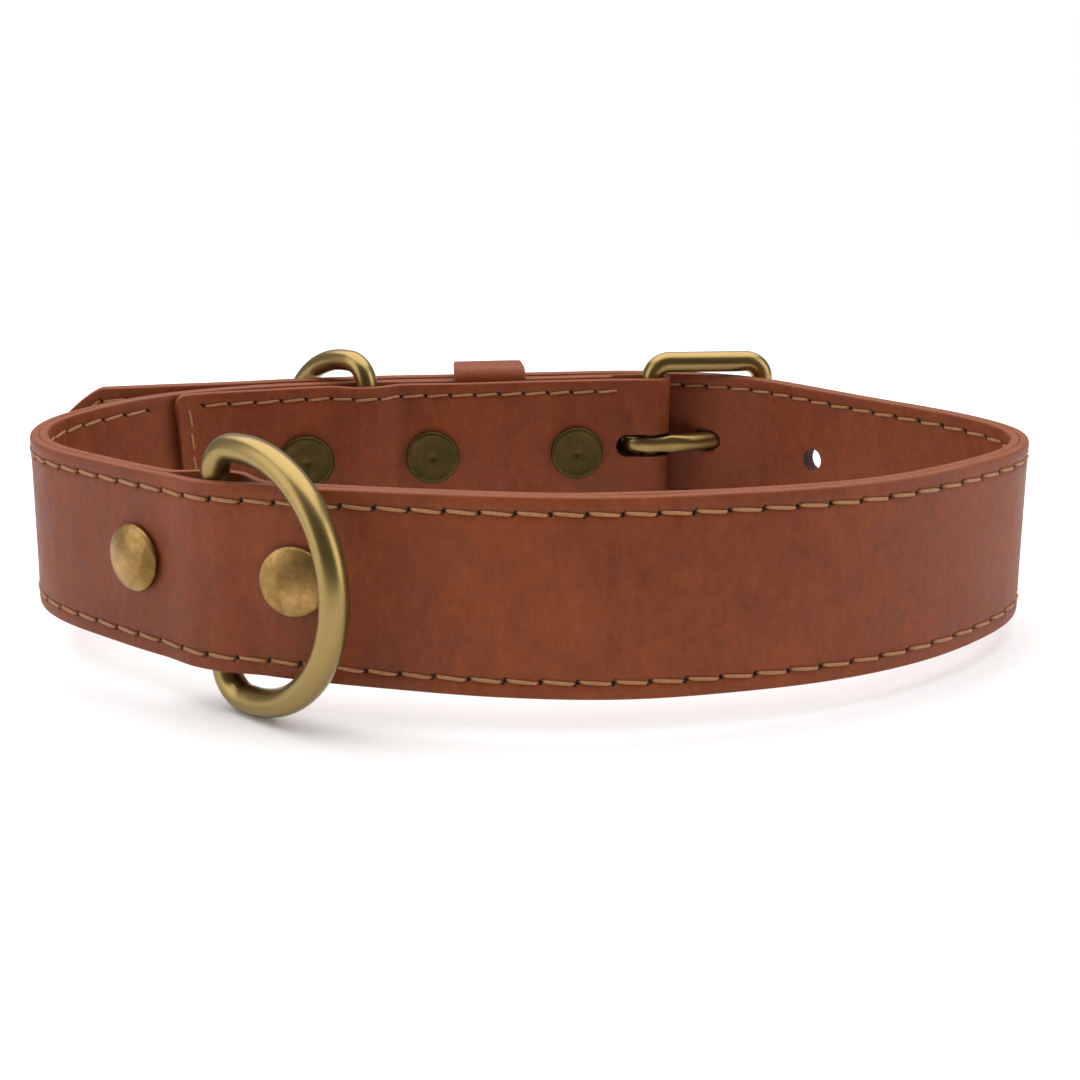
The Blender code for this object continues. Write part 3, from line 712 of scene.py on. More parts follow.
def apply_modifier(piece, kind, **settings):
    modifier = piece.modifiers.new(kind.title(), kind)
    for key, value in settings.items():
        setattr(modifier, key, value)
    bpy.context.view_layer.objects.active = piece
    with bpy.context.temp_override(object=piece, active_object=piece):
        bpy.ops.object.modifier_apply(modifier=modifier.name)


# Materials


def add(material, kind, settings=None, links=None):
    """Adds a node with its settings, by name or input, and its links."""
    tree = material.node_tree
    node = tree.nodes.new(kind)
    for key, value in (settings or {}).items():
        if isinstance(key, str) and hasattr(node, key):
            setattr(node, key, value)
        else:
            node.inputs[key].default_value = value
    for key, source in (links or {}).items():
        tree.links.new(source, node.inputs[key])
    return node


def blank(name, settings):
    """A material, its Principled shader with these settings, and the object's own coordinates."""
    material = bpy.data.materials.new(name)
    material.use_nodes = True
    shader = material.node_tree.nodes["Principled BSDF"]
    for key, value in settings.items():
        shader.inputs[key].default_value = value
    return material, shader, add(material, "ShaderNodeTexCoord").outputs["Object"]


def mixed(material, factor, first, second, mode="MIX"):
    """A colour blended from two, each a colour or a socket."""
    settings = {"data_type": "RGBA", "blend_type": mode}
    links = {}
    for key, value in ((0, factor), (6, first), (7, second)):
        if isinstance(value, bpy.types.NodeSocket):
            links[key] = value
        else:
            settings[key] = value if key == 0 else (*value, 1)
    return add(material, "ShaderNodeMix", settings, links).outputs[2]


def noise(material, vector, size, detail=3.0, roughness=0.55):
    """Noise whose features measure size metres."""
    settings = {"Scale": 0.5 / size, "Detail": detail, "Roughness": roughness}
    node = add(material, "ShaderNodeTexNoise", settings, {"Vector": vector})
    return node.outputs["Fac"]


def feed(material, shader, sources):
    """Links sources into the shader's inputs."""
    for name, source in sources.items():
        material.node_tree.links.new(source, shader.inputs[name])


def ranged(material, value, low, high, to_low=0.0, to_high=1.0):
    settings = {1: low, 2: high, 3: to_low, 4: to_high, "clamp": True}
    return add(material, "ShaderNodeMapRange", settings, {0: value}).outputs[0]


def bumped(material, height, strength, depth):
    settings = {"Strength": strength, "Distance": depth}
    return add(material, "ShaderNodeBump", settings, {"Height": height}).outputs[0]


def stretched(material, place, rise):
    """Coordinates that run faster or slower upwards."""
    settings = {"Scale": (1, 1, rise)}
    return add(material, "ShaderNodeMapping", settings, {"Vector": place}).outputs[0]


def marked(material, label):
    """The values that mark() kept."""
    return add(material, "ShaderNodeAttribute", {"attribute_name": label}).outputs["Fac"]


def waxed_leather(finish):
    """Vegetable-tanned cowhide, drum-dyed and waxed: a satin face with cloudy dye, fine creases
    across the strap and pores, raw lighter edges, and painted shade in the needle holes."""
    material, shader, place = blank(
        "waxed_leather",
        {"IOR": 1.48, "Specular IOR Level": 0.26, "Sheen Weight": 0.02, "Sheen Roughness": 0.45},
    )
    upright = stretched(material, place, 0.55)
    cloud = ranged(material, noise(material, place, 9 * MM, 3), 0.3, 0.72)
    patch = ranged(material, noise(material, upright, 1.6 * MM, 4, 0.6), 0.34, 0.68)
    fleck = ranged(material, noise(material, upright, 0.42 * MM, 3, 0.6), 0.3, 0.75)
    tone = add(material, "ShaderNodeMath", {"operation": "MULTIPLY", 1: 0.34}, {0: fleck})
    for weight, layer in ((0.24, patch), (0.42, cloud)):
        settings = {"operation": "MULTIPLY_ADD", 1: weight}
        tone = add(material, "ShaderNodeMath", settings, {0: layer, 2: tone.outputs[0]})
    grain = mixed(material, tone.outputs[0], finish.leather_deep, finish.leather)
    # A cut edge shows the fibres in long thin lines, lighter than the dyed face
    fibre_place = stretched(material, place, 3.2)
    fibre = ranged(material, noise(material, fibre_place, 0.5 * MM, 4, 0.7), 0.32, 0.7)
    raw = mixed(material, fibre, finish.leather, finish.cut_edge)
    edge = ranged(material, marked(material, "cut_edge"), 0.15, 0.8)
    # Painted shade: this mask colours the needle holes dark, because their shallow dips alone stay
    # too light
    pit_shade = ranged(material, marked(material, "painted_pit_shade"), 0.12, 0.6)
    coloured = mixed(material, pit_shade, mixed(material, edge, grain, raw), finish.pit_shade)
    # Pores as faint dents between the flecks
    pores = add(
        material, "ShaderNodeTexVoronoi", {"Scale": 1 / PORE_SPACING, "Randomness": 1.0}, {0: place}
    ).outputs["Distance"]
    height = add(
        material,
        "ShaderNodeMath",
        {"operation": "MULTIPLY_ADD", 1: 0.5},
        {0: ranged(material, pores, 0.0, 0.45), 2: fleck},
    ).outputs[0]
    bump = bumped(material, height, 0.35, 0.05 * MM)
    rough = ranged(material, patch, 0, 1, 0.47, 0.6)
    feed(material, shader, {"Base Color": coloured, "Roughness": rough, "Normal": bump})
    return material


def raw_leather(finish):
    """The wall of a punched hole: fibre, painted dark with the shade colour of the holes."""
    material, shader, place = blank("punched_leather", {"Roughness": 0.8})
    fibre = ranged(material, noise(material, place, 0.3 * MM, 4, 0.7), 0.3, 0.7)
    # Painted shade: the wall is mixed from the deep leather and the painted hole shade colour
    coloured = mixed(material, fibre, finish.pit_shade, finish.leather_deep)
    feed(material, shader, {"Base Color": coloured})
    return material


def waxed_thread(finish):
    """Twisted polyester thread under wax: a soft shine, with the plies as faint slanting lines."""
    material, shader, place = blank("waxed_thread", {"Roughness": 0.55})
    ply = ranged(material, noise(material, place, 0.16 * MM, 2), 0.3, 0.7)
    dirty = tuple(share * 0.62 for share in finish.thread)
    bump = bumped(material, ply, 0.3, 0.04 * MM)
    coloured = mixed(material, ply, dirty, finish.thread)
    feed(material, shader, {"Base Color": coloured, "Normal": bump})
    return material


def antique_brass(name, bright, dark, cloud_size, polish):
    """Brass plate blackened in a bath and rubbed back: dark oxide, brighter where touched."""
    material, shader, place = blank(name, {"Metallic": 1})
    cloud = ranged(material, noise(material, place, cloud_size, 4, 0.6), 0.32, 0.68)
    speck = ranged(material, noise(material, place, 0.35 * MM, 4, 0.7), 0.35, 0.75)
    rubbed = mixed(material, cloud, dark, bright)
    spotted = mixed(material, ranged(material, speck, 0, 1, 0.0, 0.45), rubbed, dark)
    rough = ranged(material, speck, 0, 1, polish, polish + 0.14)
    bump = bumped(material, speck, 0.16, 0.03 * MM)
    feed(material, shader, {"Base Color": spotted, "Roughness": rough, "Normal": bump})
    return material


# Shapes


def tube(name, centres, sides, ups, radii, ring=False):
    """Round or oval wire along centres; radii hold the half size along side and up."""
    angles = (np.arange(WIRE_SIDES) + 0.5) / WIRE_SIDES * 2 * math.pi
    radii = np.broadcast_to(np.asarray(radii, float), (len(centres), 2))
    points = (
        centres[:, None]
        + sides[:, None] * (np.cos(angles)[None, :, None] * radii[:, None, :1])
        + ups[:, None] * (np.sin(angles)[None, :, None] * radii[:, None, 1:])
    )
    return grid_piece(name, points, ring=ring)


def flat_loop(name, outline, origin, x_axis, z_axis):
    """Round wire along a closed outline that lies in one plane."""
    outline = np.array(outline)
    x_axis, z_axis = np.array(x_axis), np.array(z_axis)
    ahead = unit(np.roll(outline, -1, axis=0) - np.roll(outline, 1, axis=0))
    centres = origin + outline[:, :1] * x_axis + outline[:, 1:] * z_axis
    sides = ahead[:, 1:] * x_axis - ahead[:, :1] * z_axis
    ups = np.broadcast_to(np.cross(z_axis, x_axis), sides.shape)
    return tube(name, centres, sides, ups, (WIRE_RADIUS, WIRE_RADIUS), ring=True)


def arc(centre, radius, first, last, steps):
    angles = np.radians(np.linspace(first, last, steps))
    return [
        (centre[0] + radius * math.cos(angle), centre[1] + radius * math.sin(angle))
        for angle in angles
    ]


def ring_outline():
    """A D: a straight bar, two corners and a half-round bow."""
    corner = RING_HALF_HEIGHT - RING_CORNER
    bow = (RING_CORNER + RING_STRAIGHT, 0)
    outline = [(0, corner * share) for share in np.linspace(1, -1, 12)]
    outline += arc((RING_CORNER, -corner), RING_CORNER, 180, 270, 14)[1:]
    outline += arc(bow, RING_HALF_HEIGHT, -90, 90, 90)
    outline += arc((RING_CORNER, corner), RING_CORNER, 90, 180, 14)[:-1]
    return outline


def rounded_rectangle(width, height, radius, steps):
    x = width / 2 - radius
    y = height / 2 - radius
    corners = ((x, y, 0), (-x, y, 90), (-x, -y, 180), (x, -y, 270))
    return [
        point
        for cx, cy, angle in corners
        for point in arc((cx, cy), radius, angle, angle + 90, steps)
    ]


def turned(name, profile, origin, x_axis, z_axis):
    """A solid turned about its own axis from a profile of radius and height."""
    profile = np.array(profile, float)
    angles = np.arange(TURNED_SIDES) / TURNED_SIDES * 2 * math.pi
    y_axis = np.cross(z_axis, x_axis)
    spokes = x_axis * np.cos(angles)[:, None] + y_axis * np.sin(angles)[:, None]
    radii = np.maximum(profile[:, 0], 0.02 * MM)
    rises = np.asarray(z_axis) * profile[:, 1, None, None]
    return grid_piece(name, origin + spokes[None] * radii[:, None, None] + rises)


def stitch_rows(outer, lining, strap):
    """Every sewn row, by layer: both edges of each layer and both edges of the tab."""
    tab = outer.along_at("tab", 0)
    lining_from = TAB_LENGTH - SLOT_LENGTH + 2 * MM
    return (
        (
            outer,
            (
                Row(1.2 * MM, strap.tip - 1 * MM, TOP, 0.0, 1),
                Row(1.2 * MM, strap.tip - 1 * MM, BOTTOM, 0.26, 1),
                Row(tab + 6.5 * MM, outer.along[-1] - 1.6 * MM, TOP, 0.0, -1),
                Row(tab + 6.5 * MM, outer.along[-1] - 1.6 * MM, BOTTOM, 0.0, -1),
            ),
        ),
        (
            lining,
            (
                Row(lining_from, lining.along[-1] - 1.2 * MM, TOP, 0.4, -1),
                Row(lining_from, lining.along[-1] - 1.2 * MM, BOTTOM, 0.1, -1),
            ),
        ),
    )


def stitch_lift(from_end, ramp, sewing, sunk):
    """How far a stitch's points stand off the leather, by their share from its nearer end."""
    arch = np.minimum(1, from_end / ramp)
    rise = STITCH_RISE * np.sin(arch * math.pi / 2) - STITCH_DIVE
    return sewing.thread * rise - sewing.groove * sunk


def stitches_of(layer, row, sewing):
    """Points of each stitch of a row: out of one needle hole, along the leather, into the next."""
    holes, levels = needle_holes(layer, row, sewing)
    share = np.linspace(0, 1, STITCH_POINTS)
    start, end = holes[:-1, None], holes[1:, None]
    gap = sewing.hole * 0.30
    along = start + gap + (end - start - 2 * gap) * share
    height = levels[:-1, None] + (levels[1:] - levels[:-1])[:, None] * share
    height = height + row.climb * sewing.slant * (share - 0.45)
    lift = stitch_lift(np.minimum(share, 1 - share), 0.14, sewing, 0.8)
    return layer.at(along, height, LEATHER + np.broadcast_to(lift, along.shape))


def thread_mesh(name, courses, thick):
    """One mesh of many short threads, each an oval tube that narrows as it enters its holes."""
    points, faces = [], []
    angles = (np.arange(THREAD_SIDES) + 0.5) / THREAD_SIDES * 2 * math.pi
    for course, out in courses:
        ahead = unit(np.gradient(course, axis=0))
        side = unit(np.cross(ahead, out))
        lift = np.cross(side, ahead)
        share = np.linspace(0, 1, len(course))
        girth = (thick / 2) * (0.72 + 0.28 * np.sin(math.pi * share) ** 0.5)
        ring = (
            course[:, None]
            + side[:, None] * (np.cos(angles)[None, :, None] * girth[:, None, None])
            + lift[:, None] * (np.sin(angles)[None, :, None] * girth[:, None, None] * 0.86)
        )
        first = len(points) * STITCH_POINTS * THREAD_SIDES
        faces += skin_faces(first + np.arange(ring.size // 3).reshape(-1, THREAD_SIDES))
        points.append(ring.reshape(-1, 3))
    return piece_from(name, np.concatenate(points), faces)


def punches(strap, material):
    """The punch tools: rivet shanks, spare holes, the tongue's hole and the slot over the fold."""
    body = bmesh.new()
    clear = 1.2 * MM
    through = (-FACE - clear, FACE + clear)
    for place in front_rivet_places():
        ends = [strap.wall(place, MIDDLE + FRONT_RIVET_LIFT, depth) for depth in through]
        add_punch(body, *ends, SHANK_DIAMETER / 2 + TOUCH)
    for index in SPARE_HOLES:
        place = strap.hole + index * HOLE_SPACING
        ends = [strap.wall(place, MIDDLE, depth) for depth in through]
        add_punch(body, *ends, HOLE_DIAMETER / 2)
    root, rest = strap.tongue_line()
    shank = unit(rest - root)
    centre = strap.wall(strap.hole, MIDDLE, 0)
    reach = STRAP * 1.6
    add_punch(body, centre - shank * reach, centre + shank * reach, TONGUE_WIDTH / 2 + TOUCH)
    add_slot(body, strap)
    mesh = bpy.data.meshes.new("punches")
    body.to_mesh(mesh)
    body.free()
    mesh.materials.append(material)
    cutter = bpy.data.objects.new("punches", mesh)
    bpy.context.scene.collection.objects.link(cutter)
    return cutter


def add_punch(body, start, end, radius):
    axis = Vector(end - start)
    matrix = axis.to_track_quat("Z", "Y").to_matrix().to_4x4()
    matrix.translation = Vector((start + end) / 2)
    bmesh.ops.create_cone(
        body,
        cap_ends=True,
        segments=48,
        radius1=radius,
        radius2=radius,
        depth=axis.length,
        matrix=matrix,
    )


def add_slot(body, strap):
    """A round-ended block through both sides of the fold."""
    _, normal, _ = strap.lines(0)
    along = np.array((-normal[1], normal[0], 0))
    reach = FOLD_RADIUS + LEATHER + 0.5 * TOUCH
    radius = SLOT_HEIGHT / 2
    start = strap.bar - along * (reach + TOUCH)
    far = SLOT_LENGTH + reach - radius
    outline = [(0, -radius), *arc((far, 0), radius, -90, 90, 25), (0, radius)]
    sides = [
        [
            body.verts.new(Vector(start + along * x + UP * (MIDDLE + z) + normal * depth))
            for x, z in outline
        ]
        for depth in (-reach, reach)
    ]
    low, high = sides
    made = [body.faces.new(low), body.faces.new(high[::-1])]
    for i, corner in enumerate(low):
        j = (i + 1) % len(low)
        made.append(body.faces.new((corner, high[i], high[j], low[j])))
    bmesh.ops.recalc_face_normals(body, faces=made)


def punch_through(piece, strap, material):
    """Cuts the holes, so that their walls take the raw leather's finish."""
    cutter = punches(strap, material)
    apply_modifier(
        piece,
        "BOOLEAN",
        object=cutter,
        operation="DIFFERENCE",
        solver="EXACT",
        material_mode="TRANSFER",
    )
    bpy.data.objects.remove(cutter, do_unlink=True)


def find_or_make(name, make, *values):
    return bpy.data.materials.get(name) or make(*values)


def leathers(finish):
    grain = find_or_make("waxed_leather", waxed_leather, finish)
    return grain, find_or_make("punched_leather", raw_leather, finish)


def brasses(finish):
    """Cast and rubbed brass, brushed caps, and a darker brass for the tab's rivet heads, painted
    shade for the dim surroundings they reflect.
    """
    kinds = (
        ("antique_brass", finish.brass, finish.patina, 2.6 * MM, 0.2),
        ("brushed_cap_brass", finish.cap, finish.cap_patina, 2.2 * MM, 0.4),
        # Painted shade: the darker brass of the tab's rivet heads
        ("shaded_head_brass", finish.head, finish.patina, 1.8 * MM, 0.42),
    )
    return [find_or_make(kind[0], antique_brass, *kind) for kind in kinds]


class COLLAR_OT_outer_strap(bpy.types.Operator):
    """Makes the outer leather, from the point round the loop and the fold to the tab's end"""

    bl_idname = "collar.outer_strap"
    bl_label = "Outer strap"

    def execute(self, context):
        scene = context.scene
        strap = Strap()
        outer = outer_layer(strap)
        rows = stitch_rows(outer, lining_layer(strap), strap)[0][1]
        seats = front_seats(outer, 4.4 * MM, SEAT_PUSH)
        seats += [
            Seat(outer.along_at("tab", place), MIDDLE - TAB_RIVET_DROP, 4.7 * MM, SEAT_PUSH)
            for place in TAB_RIVETS
        ]
        grain, raw = leathers(scene.collar_finish)
        piece = leather_mesh(
            "outer_leather", outer, rows, seats, scene.collar_sewing, scene.collar_finish
        )
        piece.data.materials.append(grain)
        punch_through(piece, strap, raw)
        settle(piece, strap, "collar", "outer_leather", ["outer_strap"])
        return {"FINISHED"}


class COLLAR_OT_lining(bpy.types.Operator):
    """Makes the lining, from behind the slot to the point"""

    bl_idname = "collar.lining"
    bl_label = "Lining"

    def execute(self, context):
        scene = context.scene
        strap = Strap()
        lining = lining_layer(strap)
        rows = stitch_rows(outer_layer(strap), lining, strap)[1][1]
        seats = front_seats(lining, 4.0 * MM, LINING_SEAT_PUSH)
        grain, raw = leathers(scene.collar_finish)
        piece = leather_mesh(
            "lining_leather", lining, rows, seats, scene.collar_sewing, scene.collar_finish
        )
        piece.data.materials.append(grain)
        punch_through(piece, strap, raw)
        settle(piece, strap, "collar", "lining_leather", ["lining"])
        return {"FINISHED"}


class COLLAR_OT_stitches(bpy.types.Operator):
    """Sews both edges of the strap and three sides of the tab"""

    bl_idname = "collar.stitches"
    bl_label = "Stitches"

    def execute(self, context):
        sewing = context.scene.collar_sewing
        finish = context.scene.collar_finish
        strap = Strap()
        thread = find_or_make("waxed_thread", waxed_thread, finish)
        layered = stitch_rows(outer_layer(strap), lining_layer(strap), strap)
        for name, (layer, rows) in zip(("outer_stitches", "lining_stitches"), layered):
            courses = []
            for row in rows:
                for course in stitches_of(layer, row, sewing):
                    spot = layer.foot - course[STITCH_POINTS // 2] + layer.rise * MIDDLE
                    out = layer.out[int(np.argmin(np.linalg.norm(spot, axis=1)))]
                    courses.append((course, out))
            if name == "outer_stitches":
                courses += self.tab_end(layer, sewing)
            piece = thread_mesh(name, courses, sewing.thread)
            settle(piece, strap, "collar", "outer_leather", [], thread)
        return {"FINISHED"}

    def tab_end(self, layer, sewing):
        """The short row up the tab's end."""
        low, high = sewing.inset, STRAP_WIDTH - sewing.inset
        count = round((high - low) / sewing.pitch)
        holes = np.linspace(low, high, count + 1)
        along = layer.along[-1] - sewing.inset
        out = layer.out[-1]
        share = np.linspace(0.1, 0.9, STITCH_POINTS)
        lift = stitch_lift(np.minimum(share - 0.1, 0.9 - share), 0.12, sewing, 0.5)
        leaning = along + sewing.slant * (share - 0.5)
        return [
            (layer.at(leaning, first + (last - first) * share, LEATHER + lift), out)
            for first, last in zip(holes, holes[1:])
        ]


class COLLAR_OT_keeper(bpy.types.Operator):
    """Makes the leather keeper round the strap and the free end"""

    bl_idname = "collar.keeper"
    bl_label = "Keeper"

    def execute(self, context):
        finish = context.scene.collar_finish
        strap = Strap()
        grain, _ = leathers(finish)
        inner = -FACE - KEEPER_PLAY
        outer = FACE + RIVET_ROOM + STRAP + KEEPER_PLAY
        thick = outer - inner
        tall = STRAP_WIDTH + 2 * KEEPER_HEADROOM
        middle = (inner + outer) / 2
        corner = 1.1 * MM
        near = np.array(rounded_rectangle(thick, tall, corner, 9))
        far = np.array(
            rounded_rectangle(thick + 2 * LEATHER, tall + 2 * LEATHER, corner + LEATHER, 9)
        )
        around = np.linspace(0, 1, len(near), endpoint=False)
        fillet = 0.28 * MM
        half = KEEPER_WIDTH / 2
        # Across the keeper's cut section: inner face, edge, outer face, edge
        section = [(-half + fillet * 0.4, 0, 0.6), (-half, 0.12, 1), (-half, 0.74, 1)]
        section += [(-half + fillet * 0.3, 0.93, 0.6), (-half + fillet, 1, 0.15)]
        section += [(x * half, 1 + 0.02 * (1 - x * x), 0) for x in np.linspace(-0.8, 0.8, 9)]
        section += [(-x, share, edge) for x, share, edge in reversed(section[:5])]
        section += [(x * half, 0, 0) for x in (0.5, 0, -0.5)]
        points, edges = [], []
        for i, angle in enumerate(around):
            swell = 1 + 0.012 * math.sin(angle * 2 * math.pi * 2 + 0.7)
            row = []
            for x, share, edge in section:
                depth, height = (near[i] + (far[i] - near[i]) * share) * (swell, 1)
                row.append(strap.wall(KEEPER_PLACE + x, MIDDLE + height, middle + depth))
                edges.append(edge)
            points.append(row)
        piece = grid_piece("keeper_leather", np.array(points), ring=True)
        mark(piece, "cut_edge", edges)
        # The keeper has no needle holes, so its painted hole shade mask is empty
        mark(piece, "painted_pit_shade", np.zeros(len(edges)))
        settle(piece, strap, "collar", "outer_leather", ["keeper"], grain)
        apply_modifier(piece, "SUBSURF", levels=1, render_levels=1)
        return {"FINISHED"}


class COLLAR_OT_buckle(bpy.types.Operator):
    """Makes the wire frame of the buckle and its tongue"""

    bl_idname = "collar.buckle"
    bl_label = "Buckle"

    def execute(self, context):
        strap = Strap()
        brass = brasses(context.scene.collar_finish)[0]
        outline = rounded_rectangle(
            BUCKLE_LENGTH - 2 * WIRE_RADIUS,
            BUCKLE_HEIGHT - 2 * WIRE_RADIUS,
            BUCKLE_CORNER - WIRE_RADIUS,
            16,
        )
        centre = (strap.bar + strap.far_wire) / 2 + UP * MIDDLE
        bow = flat_loop("buckle_wire", outline, centre, strap.frame_along, UP)
        settle(bow, strap, "collar", "antique_brass", ["buckle_frame"], brass)
        tongue = self.tongue(strap)
        settle(tongue, strap, "collar", "antique_brass", ["buckle_tongue"], brass)
        return {"FINISHED"}

    def tongue(self, strap):
        """A flat curl round the heel bar, then a round shank with a soft waist and a blunt tip."""
        root, rest = strap.tongue_line()
        shank = unit(rest - root)
        curl = FOLD_RADIUS + TONGUE_CURL / 2
        course = []
        for angle in np.radians(np.linspace(70, 270, 40)):
            reach = curl + (TONGUE_EYE if math.cos(angle) < 0 else 0)
            spot = strap.bar + strap.frame_along * math.cos(angle) * reach
            spot = spot + strap.frame_normal * math.sin(angle) * curl
            course.append((*spot, TONGUE_CURL / 2))
        reach = np.linalg.norm(rest - root)
        full = TONGUE_WIRE / 2
        for share in np.linspace(0.08, 1.0, 36):
            grow = float(smooth_step((share - 0.05) / 0.3))
            thickness = TONGUE_CURL / 2 * (1 - grow) + full * grow
            course.append((*(root + shank * reach * share), thickness))
        for share, thickness in ((0.3, 0.97), (0.55, 0.88), (0.75, 0.74), (0.9, 0.55), (1.0, 0.3)):
            spot = rest + strap.frame_along * TONGUE_OVERHANG * share
            course.append((*spot, full * thickness))
        course = np.array(course)
        centres = course[:, :3] + UP * MIDDLE
        side = np.cross(unit(np.gradient(centres, axis=0)), UP)
        half = course[:, 3]
        wide = np.minimum(TONGUE_WIDTH / 2, half + TONGUE_WIDTH / 4)
        ups = np.broadcast_to(UP, side.shape)
        return tube("tongue", centres, side, ups, np.stack([half, wide], axis=1))


class COLLAR_OT_d_rings(bpy.types.Operator):
    """Makes the front and back D-rings, each on its own swinging body"""

    bl_idname = "collar.d_rings"
    bl_label = "D-rings"

    def execute(self, context):
        strap = Strap()
        brass = brasses(context.scene.collar_finish)[0]
        rings = (
            ("front_ring", FRONT_RING_PLACE, FRONT_RING_SWING, FRONT_RING_TILT),
            ("back_ring", BACK_RING_PLACE, BACK_RING_SWING, 0.0),
        )
        for name, place, swing, tip in rings:
            along, normal, rise = strap.frame_at(place)
            turn, tilt = math.radians(swing), math.radians(tip)
            level = along * math.cos(turn) + normal * math.sin(turn)
            reach = level * math.cos(tilt) + rise * math.sin(tilt)
            axis = rise * math.cos(tilt) - level * math.sin(tilt)
            piece = flat_loop(name + "_wire", ring_outline(), strap.ring_spot(name), reach, axis)
            settle(piece, strap, name, "antique_brass", [name], brass)
        return {"FINISHED"}


class COLLAR_OT_rivets(bpy.types.Operator):
    """Makes the two domed rivets at the front and the three flat ones through the tab"""

    bl_idname = "collar.rivets"
    bl_label = "Rivets"

    def execute(self, context):
        strap = Strap()
        _, cap, head = brasses(context.scene.collar_finish)
        for side, place in zip(("left", "right"), front_rivet_places()):
            centre = strap.wall(place, MIDDLE + FRONT_RIVET_LIFT, 0)
            self.rivet(strap, f"front_rivet_{side}", place, centre, self.domed(), cap)
        for side, place in zip(("right", "middle", "left"), TAB_RIVETS):
            centre = strap.wall(place, MIDDLE - TAB_RIVET_DROP, 0)
            self.rivet(strap, f"tab_rivet_{side}", place, centre, self.flat(place), head)
        return {"FINISHED"}

    def rivet(self, strap, name, place, centre, profile, material):
        _, normal, rise = strap.frame_at(place)
        piece = turned(name + "_metal", profile, centre, rise, normal)
        piece.data.set_sharp_from_angle(angle=math.radians(50))
        settle(piece, strap, "collar", "rivet_brass", [name], material)

    def domed(self):
        """A pressed cap whose rolled rim sits in the leather."""
        inside = -FACE - SEAT
        outside = FACE + SEAT
        radius = CAP_DIAMETER / 2
        rim = 0.34 * MM
        profile = [
            (0, inside - HEAD_THICKNESS),
            (HEAD_DIAMETER / 2 - 0.25 * MM, inside - HEAD_THICKNESS),
            (HEAD_DIAMETER / 2 - 0.07 * MM, inside - HEAD_THICKNESS + 0.07 * MM),
            (HEAD_DIAMETER / 2, inside - HEAD_THICKNESS + 0.25 * MM),
            (HEAD_DIAMETER / 2, inside + 0.3 * MM),
            (SHANK_DIAMETER / 2, inside + 0.3 * MM),
            (SHANK_DIAMETER / 2, outside - 0.3 * MM),
            (radius - 0.1 * MM, outside - 0.3 * MM),
        ]
        profile += [
            (radius - rim + rim * math.cos(a), outside + 0.12 * MM + rim * math.sin(a))
            for a in np.radians(np.linspace(-35, 62, 8))
        ]
        edge, level = profile[-1]
        crown = outside + CAP_HEIGHT
        for share in np.linspace(0, 1, 14)[1:]:
            profile.append((edge * (1 - share), level + (crown - level) * (1 - (1 - share) ** 2)))
        return profile

    def flat(self, place):
        """A flat struck head with a rolled rim and a small centre dimple, and a thin far head."""
        inside = float(-tab_depth(place)) - LEATHER - SEAT
        outside = FACE + SEAT
        head = TAB_HEAD_DIAMETER / 2
        low = inside - TAB_HEAD_THICKNESS
        return [
            (0, low + 0.22 * MM),
            (head * 0.06, low + 0.2 * MM),
            (head * 0.13, low + 0.07 * MM),
            (head * 0.2, low + 0.03 * MM),
            (head * 0.5, low + 0.06 * MM),
            (head * 0.78, low + 0.09 * MM),
            (head * 0.84, low + 0.02 * MM),
            (head * 0.91, low),
            (head * 0.97, low + 0.1 * MM),
            (head, low + 0.28 * MM),
            (head, inside + 0.28 * MM),
            (SHANK_DIAMETER / 2, inside + 0.28 * MM),
            (SHANK_DIAMETER / 2, outside - 0.3 * MM),
            (HEAD_DIAMETER / 2, outside - 0.3 * MM),
            (HEAD_DIAMETER / 2, outside + HEAD_THICKNESS - 0.15 * MM),
            (HEAD_DIAMETER / 2 - 0.15 * MM, outside + HEAD_THICKNESS),
            (0, outside + HEAD_THICKNESS),
        ]


Softbox = namedtuple("Softbox", ("name", "spot", "size", "light", "share"))
SOFTBOXES = (
    Softbox("left_softbox", (-0.75, -0.30, 0.34), (0.55, 0.7), "side_light", 1.0),
    Softbox("right_softbox", (0.80, -0.22, 0.34), (0.55, 0.7), "side_light", 1.15),
    Softbox("top_softbox", (0.0, 0.20, 0.95), (1.7, 1.5), "top_light", 1.0),
)
SOFTBOX_AIM = Vector((0, 0, 0.02))
FLOOR_REACH = 0.75
# Where the camera stands, from the middle of the loop's front
CAMERA_SPOT = (0.00315, -0.1356, 0.06367)


